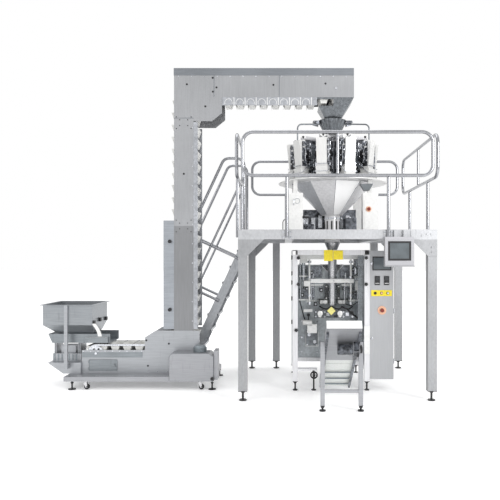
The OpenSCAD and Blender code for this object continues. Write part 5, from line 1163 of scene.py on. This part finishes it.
    def coder_parts(self) -> None:
        """The coder's bracket, knob and cylinder on the left, and the height wheel below the sill."""
        parts = [box((-0.345, -0.130, 0.905), (-0.235, -0.100, 0.940)),
                 box((-0.300, -0.130, 0.640), (-0.18, -0.092, 0.75))]
        cover = [box((-0.314, -0.0928, 0.476), (-0.164, -0.0904, 0.674))]
        build("coder_cover", cover, DARK_SHEET, bevel=0.0008)
        ends = [cylinder(-0.110, -0.0930, 0.022, (x, 0, z), Axis.Y, 24) for x,
                z in ((-0.275, 0.62), (-0.205, 0.53))]
        ends += [bolt((x, -0.0929, z), Axis.Y, 0.006, -1) for x in (-0.300, -0.178) for z in (0.490, 0.660)]
        build("coder_spools", ends, MACHINED)
        build("coder_brackets", parts, SATIN_WHITE, bevel=0.002)
        build("coder_cylinder", [cylinder(-0.36, -0.24, 0.034, (0, -0.14, 0.775), Axis.X, 28)], HEAD_WHITE)
        build("coder_knob", [turned_piece([(0.008, 0.78), (0.008, 0.85), (0.018, 0.856), (0.018, 0.884),
                                           (0.010, 0.89)],
                                          (-0.285, -0.14, 0), Axis.Z, 20)], BLACK_PLASTIC)
        wheel = ring([(0.030, -0.010), (0.046, -0.010), (0.046, 0.010), (0.030, 0.010)],
                     (-0.235, -0.497, 0.190),
                     Axis.Y, 36)
        hub = cylinder(-0.512, -0.486, 0.016, (-0.235, 0, 0.190), Axis.Y, 20)
        spokes = [box((-0.031, -0.004, -0.004), (0.031, 0.004, 0.004)).turned(Axis.Y,
                                                                              a).moved((-0.235, -0.497,
                                                                                        0.190))
                  for a in (0.0, 60.0, 120.0)]
        build("height_wheel", [wheel, hub, *spokes], BLACK_PLASTIC)

    def wiring(self) -> None:
        """Black hoses along the back wall and the frame."""
        runs = [[(0.30, 0.03, 1.16), (0.20, -0.02, 1.06), (0.28, 0.00, 0.98), (0.36, 0.03, 1.02)],
                [(0.34, 0.08, 1.22), (0.26, 0.04, 1.10), (0.16, 0.08, 1.00), (0.30, 0.10, 0.96)],
                [(-0.39, 0.08, 1.04), (-0.36, 0.02, 0.92), (-0.33, 0.06, 0.80), (-0.28, 0.10, 0.70)],
                [(-0.34, 0.10, 1.33), (-0.31, 0.06, 1.26), (-0.35, 0.08, 1.18), (-0.30, 0.10, 1.10)]]
        shapes = [tube(eased(run, 4), 0.007, (0.2, 1.0, 0.1), 10) for run in runs]
        build("machine_hoses", shapes, BLACK_RUBBER)

    def wall_parts(self) -> None:
        """Ribs and bolts on the inner wall."""
        ribs = [box((-0.40 + 0.2 * k, 0.1470, 0.32), (-0.392 + 0.2 * k, 0.1497, 1.30)) for k in range(5)]
        build("wall_ribs", ribs, PANEL_STEEL, slot="stainless_dark")
        bolts = [bolt((x, 0.1497, z), Axis.Y, 0.007, -1) for x in (-0.36, -0.16, 0.04, 0.24)
                 for z in (0.36, 0.55, 0.76)]
        build("wall_bolts", bolts, MACHINED)

    def build(self) -> None:
        """Builds every bagger piece."""
        self.door_parts()
        self.labels()
        self.top_parts()
        self.pull_parts()
        self.jaw_parts()
        self.guard_parts()
        self.tangle()
        self.coder_parts()
        self.wiring()
        self.wall_parts()


# ---------------------------------------------------------------- cabinet

@dataclass
class Cabinet:
    """The faces of the cabinet's instruments, its switch plate, lock and vents."""

    x0: float = 0.4323
    face_y: float = -0.4783
    switch_z: float = 1.164

    def holed_plate(self, centres: Sequence[float], hole: float, z: float, half_h: float, y0: float,
                    y1: float) -> list[Shape]:
        """A flat plate made of cells, each a rectangle with a round hole.

        Args:
            centres: The X of each hole; neighbouring cells meet halfway.
            hole: The radius of the holes.
            z: The height of the holes.
            half_h: Half the plate's height.
            y0: The front face's Y.
            y1: The back face's Y.

        Returns:
            One ring per cell: its outer line is where the ray at each angle leaves the
            rectangle, its inner line the hole's circle.
        """
        edges = [centres[0] - 0.048] + [(a + b) / 2 for a, b in zip(centres, centres[1:])] + [centres[-1]
                                                                                              + 0.049]
        t = np.linspace(0.0, 2.0 * math.pi, 64, endpoint=False) + math.pi / 64
        shapes = []
        for c, a, b in zip(centres, edges[:-1], edges[1:]):
            reach_x = np.where(np.cos(t) > 0, b - c, c - a) / np.abs(np.cos(t))
            reach_z = half_h / np.abs(np.sin(t))
            out = np.minimum(reach_x, reach_z)
            rows = [(out, y1), (out, y0), (np.full(64, hole), y0), (np.full(64, hole), y1)]
            rings = np.stack([np.stack([c + r * np.cos(t), np.full(64, y), z + r * np.sin(t)], axis=1)
                              for r, y in rows])
            faces = grid_faces(5, 64) % (4 * 64)
            shapes.append(Shape(rings.reshape(-1, 3), [faces]))
        return shapes

    def instruments(self) -> None:
        """The screen's glass, the controllers' windows and keys, and the plates round the switches."""
        y = self.face_y - 0.0082
        x = self.x0
        build("cabinet_screen_glass", [box((x + 0.044, y - 0.0016, 1.448), (x + 0.245, y - 0.0001, 1.587))],
              SCREEN_GLASS, "cabinet_door", "black_plastic", 0.0005)
        windows, keys = [], []
        for dx in (0.059, 0.169):
            windows.append(box((x + dx + 0.008, y - 0.0036, 1.318), (x + dx + 0.054, y - 0.0021, 1.358)))
            for k in range(4):
                keys.append(box((x + dx + 0.009 + 0.012 * k, y - 0.0046, 1.276),
                                (x + dx + 0.017 + 0.012 * k,
                                                                                  y - 0.0021, 1.286)))
        build("controller_windows", windows, DARK_GLASS, "cabinet_door", "black_plastic")
        build("controller_keys", keys, SATIN_WHITE, "cabinet_door", "white_painted", 0.0006)
        plate = self.holed_plate([x + 0.065, x + 0.140, x + 0.215], 0.0170, self.switch_z, 0.036,
                                 self.face_y - 0.0046, self.face_y - 0.0033)
        build("switch_plate", plate, YELLOW_PLATE, "cabinet_door", "black_plastic", smooth=False)
        caps = [turned_piece([(0.0115, 0.0), (0.0115, 0.004), (0.007, 0.006)], (0, 0, 0), Axis.Y, 22)
                .turned(Axis.Z,
                        180.0).moved((x + dx, self.face_y - 0.0123, self.switch_z)) for dx in (0.140,
                                                                                               0.215)]
        build("signal_lamp", caps[:1], ORANGE_PLASTIC, "cabinet_door", "red_plastic")
        build("start_button", caps[1:], HEAD_WHITE, "cabinet_door", "white_painted")
        collar = ring([(0.024, -0.0030), (0.050, -0.0030), (0.052, 0.0), (0.024, 0.0)],
                      (x + 0.145, self.face_y - 0.0054, 0.959), Axis.Y, 40)
        build("emergency_stop_ring", [collar], ORANGE_PLASTIC, "cabinet_door", "red_plastic")

    def door_parts(self) -> None:
        """The door's locks and its hinges."""
        y = self.face_y
        lock = turned_piece([(0.013, 0.0), (0.013, 0.006), (0.009, 0.008)], (0, 0, 0), Axis.Y,
                            22).turned(Axis.Z, 180.0)
        build("cabinet_locks", [lock.moved((self.x0 + 0.022, y - 0.0002, z)) for z in (0.62, 1.52)],
              MACHINED,
              "cabinet_door", "machined_steel")
        hinges = [cylinder(z - 0.03, z + 0.03, 0.006, (self.x0 + 0.2915, -0.4680, 0), Axis.Z, 16)
                  for z in (0.35, 0.95, 1.50)]
        build("cabinet_hinges", hinges, MACHINED)

    def vents(self) -> None:
        """Louvres on the cabinet's right side, and the white junction panel on the bagger's post."""
        x = self.x0 + 0.285
        slots = []
        for k in range(9):
            z = 0.42 + 0.022 * k
            outline = [(x + 0.0002, z), (x + 0.006, z - 0.002), (x + 0.0002, z + 0.012)]
            slots.append(prism([(p[1], p[0]) for p in outline][::-1], Axis.Y, -0.36, -0.24))
        build("cabinet_louvres", slots, CABINET_STEEL)
        panel = [box((0.364, -0.4935, 0.439), (0.4310, -0.4805, 0.773))]
        build("junction_panel", panel, SATIN_WHITE, bevel=0.002)

    def build(self) -> None:
        """Builds every cabinet piece."""
        self.instruments()
        self.door_parts()
        self.vents()


# ---------------------------------------------------------------- conveyor

@dataclass
class Conveyor:
    """Small parts of the take-off conveyor, placed in its own sloping axes."""

    length: float = 1.33
    slope: float = 36.0
    start: tuple[float, float, float] = (0.005, -0.56, 0.112)

    def placed(self, shape: Shape) -> Shape:
        """A shape along +X from the low roller, put on the slope."""
        return shape.turned(Axis.Y, -self.slope).turned(Axis.Z, -90.0).moved(self.start)

    def build(self) -> None:
        """Builds the end plate, the motor's fins and shell, the gearbox shell, the disc, the lower rails,
        the cleats and the side strips.
        """
        end = self.placed(box((self.length + 0.0533, -0.176, -0.042), (self.length + 0.0543, 0.176, 0.045)))
        build("conveyor_end_plate", [end], SATIN_WHITE)
        x, z = self.length * 0.8, -0.107
        fins = [ring([(0.0521, y), (0.060, y), (0.060, y + 0.004), (0.0521, y + 0.004)], (x, 0, z),
                     Axis.Y, 40)
                for y in np.arange(-0.044, 0.095, 0.014)]
        build("conveyor_motor_fins", [self.placed(f) for f in fins], DARK_CAST_AND_PAINTED_HIGHLIGHTS)
        shell = cylinder(-0.052, 0.104, 0.0526, (x, 0, z), Axis.Y, 40)
        build("conveyor_motor_shell", [self.placed(shell)], DARK_CAST_AND_PAINTED_HIGHLIGHTS)
        gear = box((x - 0.0605, 0.1048, z - 0.0605), (x + 0.0605, 0.1725, z + 0.0615))
        build("conveyor_gearbox_shell", [self.placed(gear)], DARK_CAST_AND_PAINTED_HIGHLIGHTS, bevel=0.006)
        disc = turned_piece([(0.0402, 0.168), (0.0412, 0.172), (0.0412, 0.2002), (0.034, 0.204),
                             (0.012, 0.204)],
                            (x, 0, z), Axis.Y, 36)
        build("conveyor_disc", [self.placed(disc)], BLACK_PLASTIC)
        rails = [self.placed(box((0.02, a, -0.072), (self.length - 0.02, b, -0.0458)))
                 for a, b in (span(-1, 0.150, 0.176), span(1, 0.150, 0.176))]
        build("conveyor_lower_rails", rails, DARK_CAST_AND_PAINTED_HIGHLIGHTS, bevel=0.001)
        cleats = [self.placed(box((x - 0.006, -0.146, -0.060), (x + 0.006, 0.146, -0.0462)))
                  for x in (0.09, 0.24, 0.40)]
        build("conveyor_cleats", cleats, MOTOR_GREY, slot="white_plastic", bevel=0.001)
        strips = [self.placed(box((0.0, s * 0.1765 - 0.0004, 0.030),
                                  (self.length + 0.045, s * 0.1765 + 0.0012, 0.0445)))
                  for s in (-1, 1)]
        build("conveyor_side_strips", strips, DARK_CAST_AND_PAINTED_HIGHLIGHTS)


# ---------------------------------------------------------------- studio

@dataclass
class Studio:
    """The floor, the lights and the camera."""

    eye: tuple[float, float, float] = (0.6171, -7.1692, 1.60)
    lens: float = 42.34
    shift: tuple[float, float] = (-0.0666, 0.0132)
    sky: float = 1.0

    def floor(self) -> None:
        """A pale floor, far larger than the line."""
        mesh = bpy.data.meshes.new("floor")
        s = 60.0
        mesh.from_pydata([(-s, -s, -0.001), (s, -s, -0.001), (s, s, -0.001), (-s, s, -0.001)], [],
                         [(0, 1, 2, 3)])
        mesh.materials.append(FLOOR_PAINT.material())
        plane = bpy.data.objects.new("floor", mesh)
        bpy.context.scene.collection.objects.link(plane)

    def light(self, name: str, place: Point, look: Point, size: float, power: float) -> None:
        """A square area light at a place, turned to look at a point."""
        lamp = bpy.data.lights.new(name, "AREA")
        lamp.size = size
        lamp.energy = power
        rig = bpy.data.objects.new(name, lamp)
        rig.location = place
        way = np.asarray(look, float) - np.asarray(place, float)
        flat = math.hypot(way[0], way[1])
        rig.rotation_euler = (math.atan2(flat, -way[2]), 0.0, math.atan2(way[1], way[0]) - math.pi / 2)
        bpy.context.scene.collection.objects.link(rig)

    def build(self) -> None:
        """Builds the floor, the sky, three soft lights and the camera."""
        self.floor()
        world = bpy.data.worlds.new("studio")
        world.use_nodes = True
        sky = world.node_tree.nodes["Background"]
        sky.inputs["Color"].default_value = (1.0, 1.0, 1.0, 1.0)
        sky.inputs["Strength"].default_value = self.sky
        bpy.context.scene.world = world
        self.light("key", (5.5, -5.0, 3.6), (1.0, 0.2, 2.0), 2.5, 250.0)
        self.light("left_fill", (-5.5, -5.5, 4.5), (-1.0, 0.0, 1.8), 3.5, 90.0)
        self.light("top_soft", (0.0, 1.0, 8.0), (0.0, 0.3, 1.0), 5.0, 160.0)
        lens = bpy.data.cameras.new("camera")
        lens.lens = self.lens
        lens.sensor_width = 36.0
        lens.shift_x, lens.shift_y = self.shift
        lens.clip_end = 200.0
        eye = bpy.data.objects.new("camera", lens)
        eye.location = self.eye
        eye.rotation_euler = (math.pi / 2, 0.0, 0.0)
        bpy.context.scene.collection.objects.link(eye)
        bpy.context.scene.camera = eye
        bpy.context.scene.view_settings.view_transform = "Standard"


def main() -> None:
    """Builds the studio and every sub-assembly."""
    logging.basicConfig(level=logging.INFO, format="%(name)s: %(message)s")
    Studio().build()
    dress_frame()
    for part in (Platform(), Elevator(), Weigher(), Bagger(), Cabinet(), Conveyor()):
        LOG.info("building %s", type(part).__name__)
        part.build()


if __name__ == "__main__":
    main()
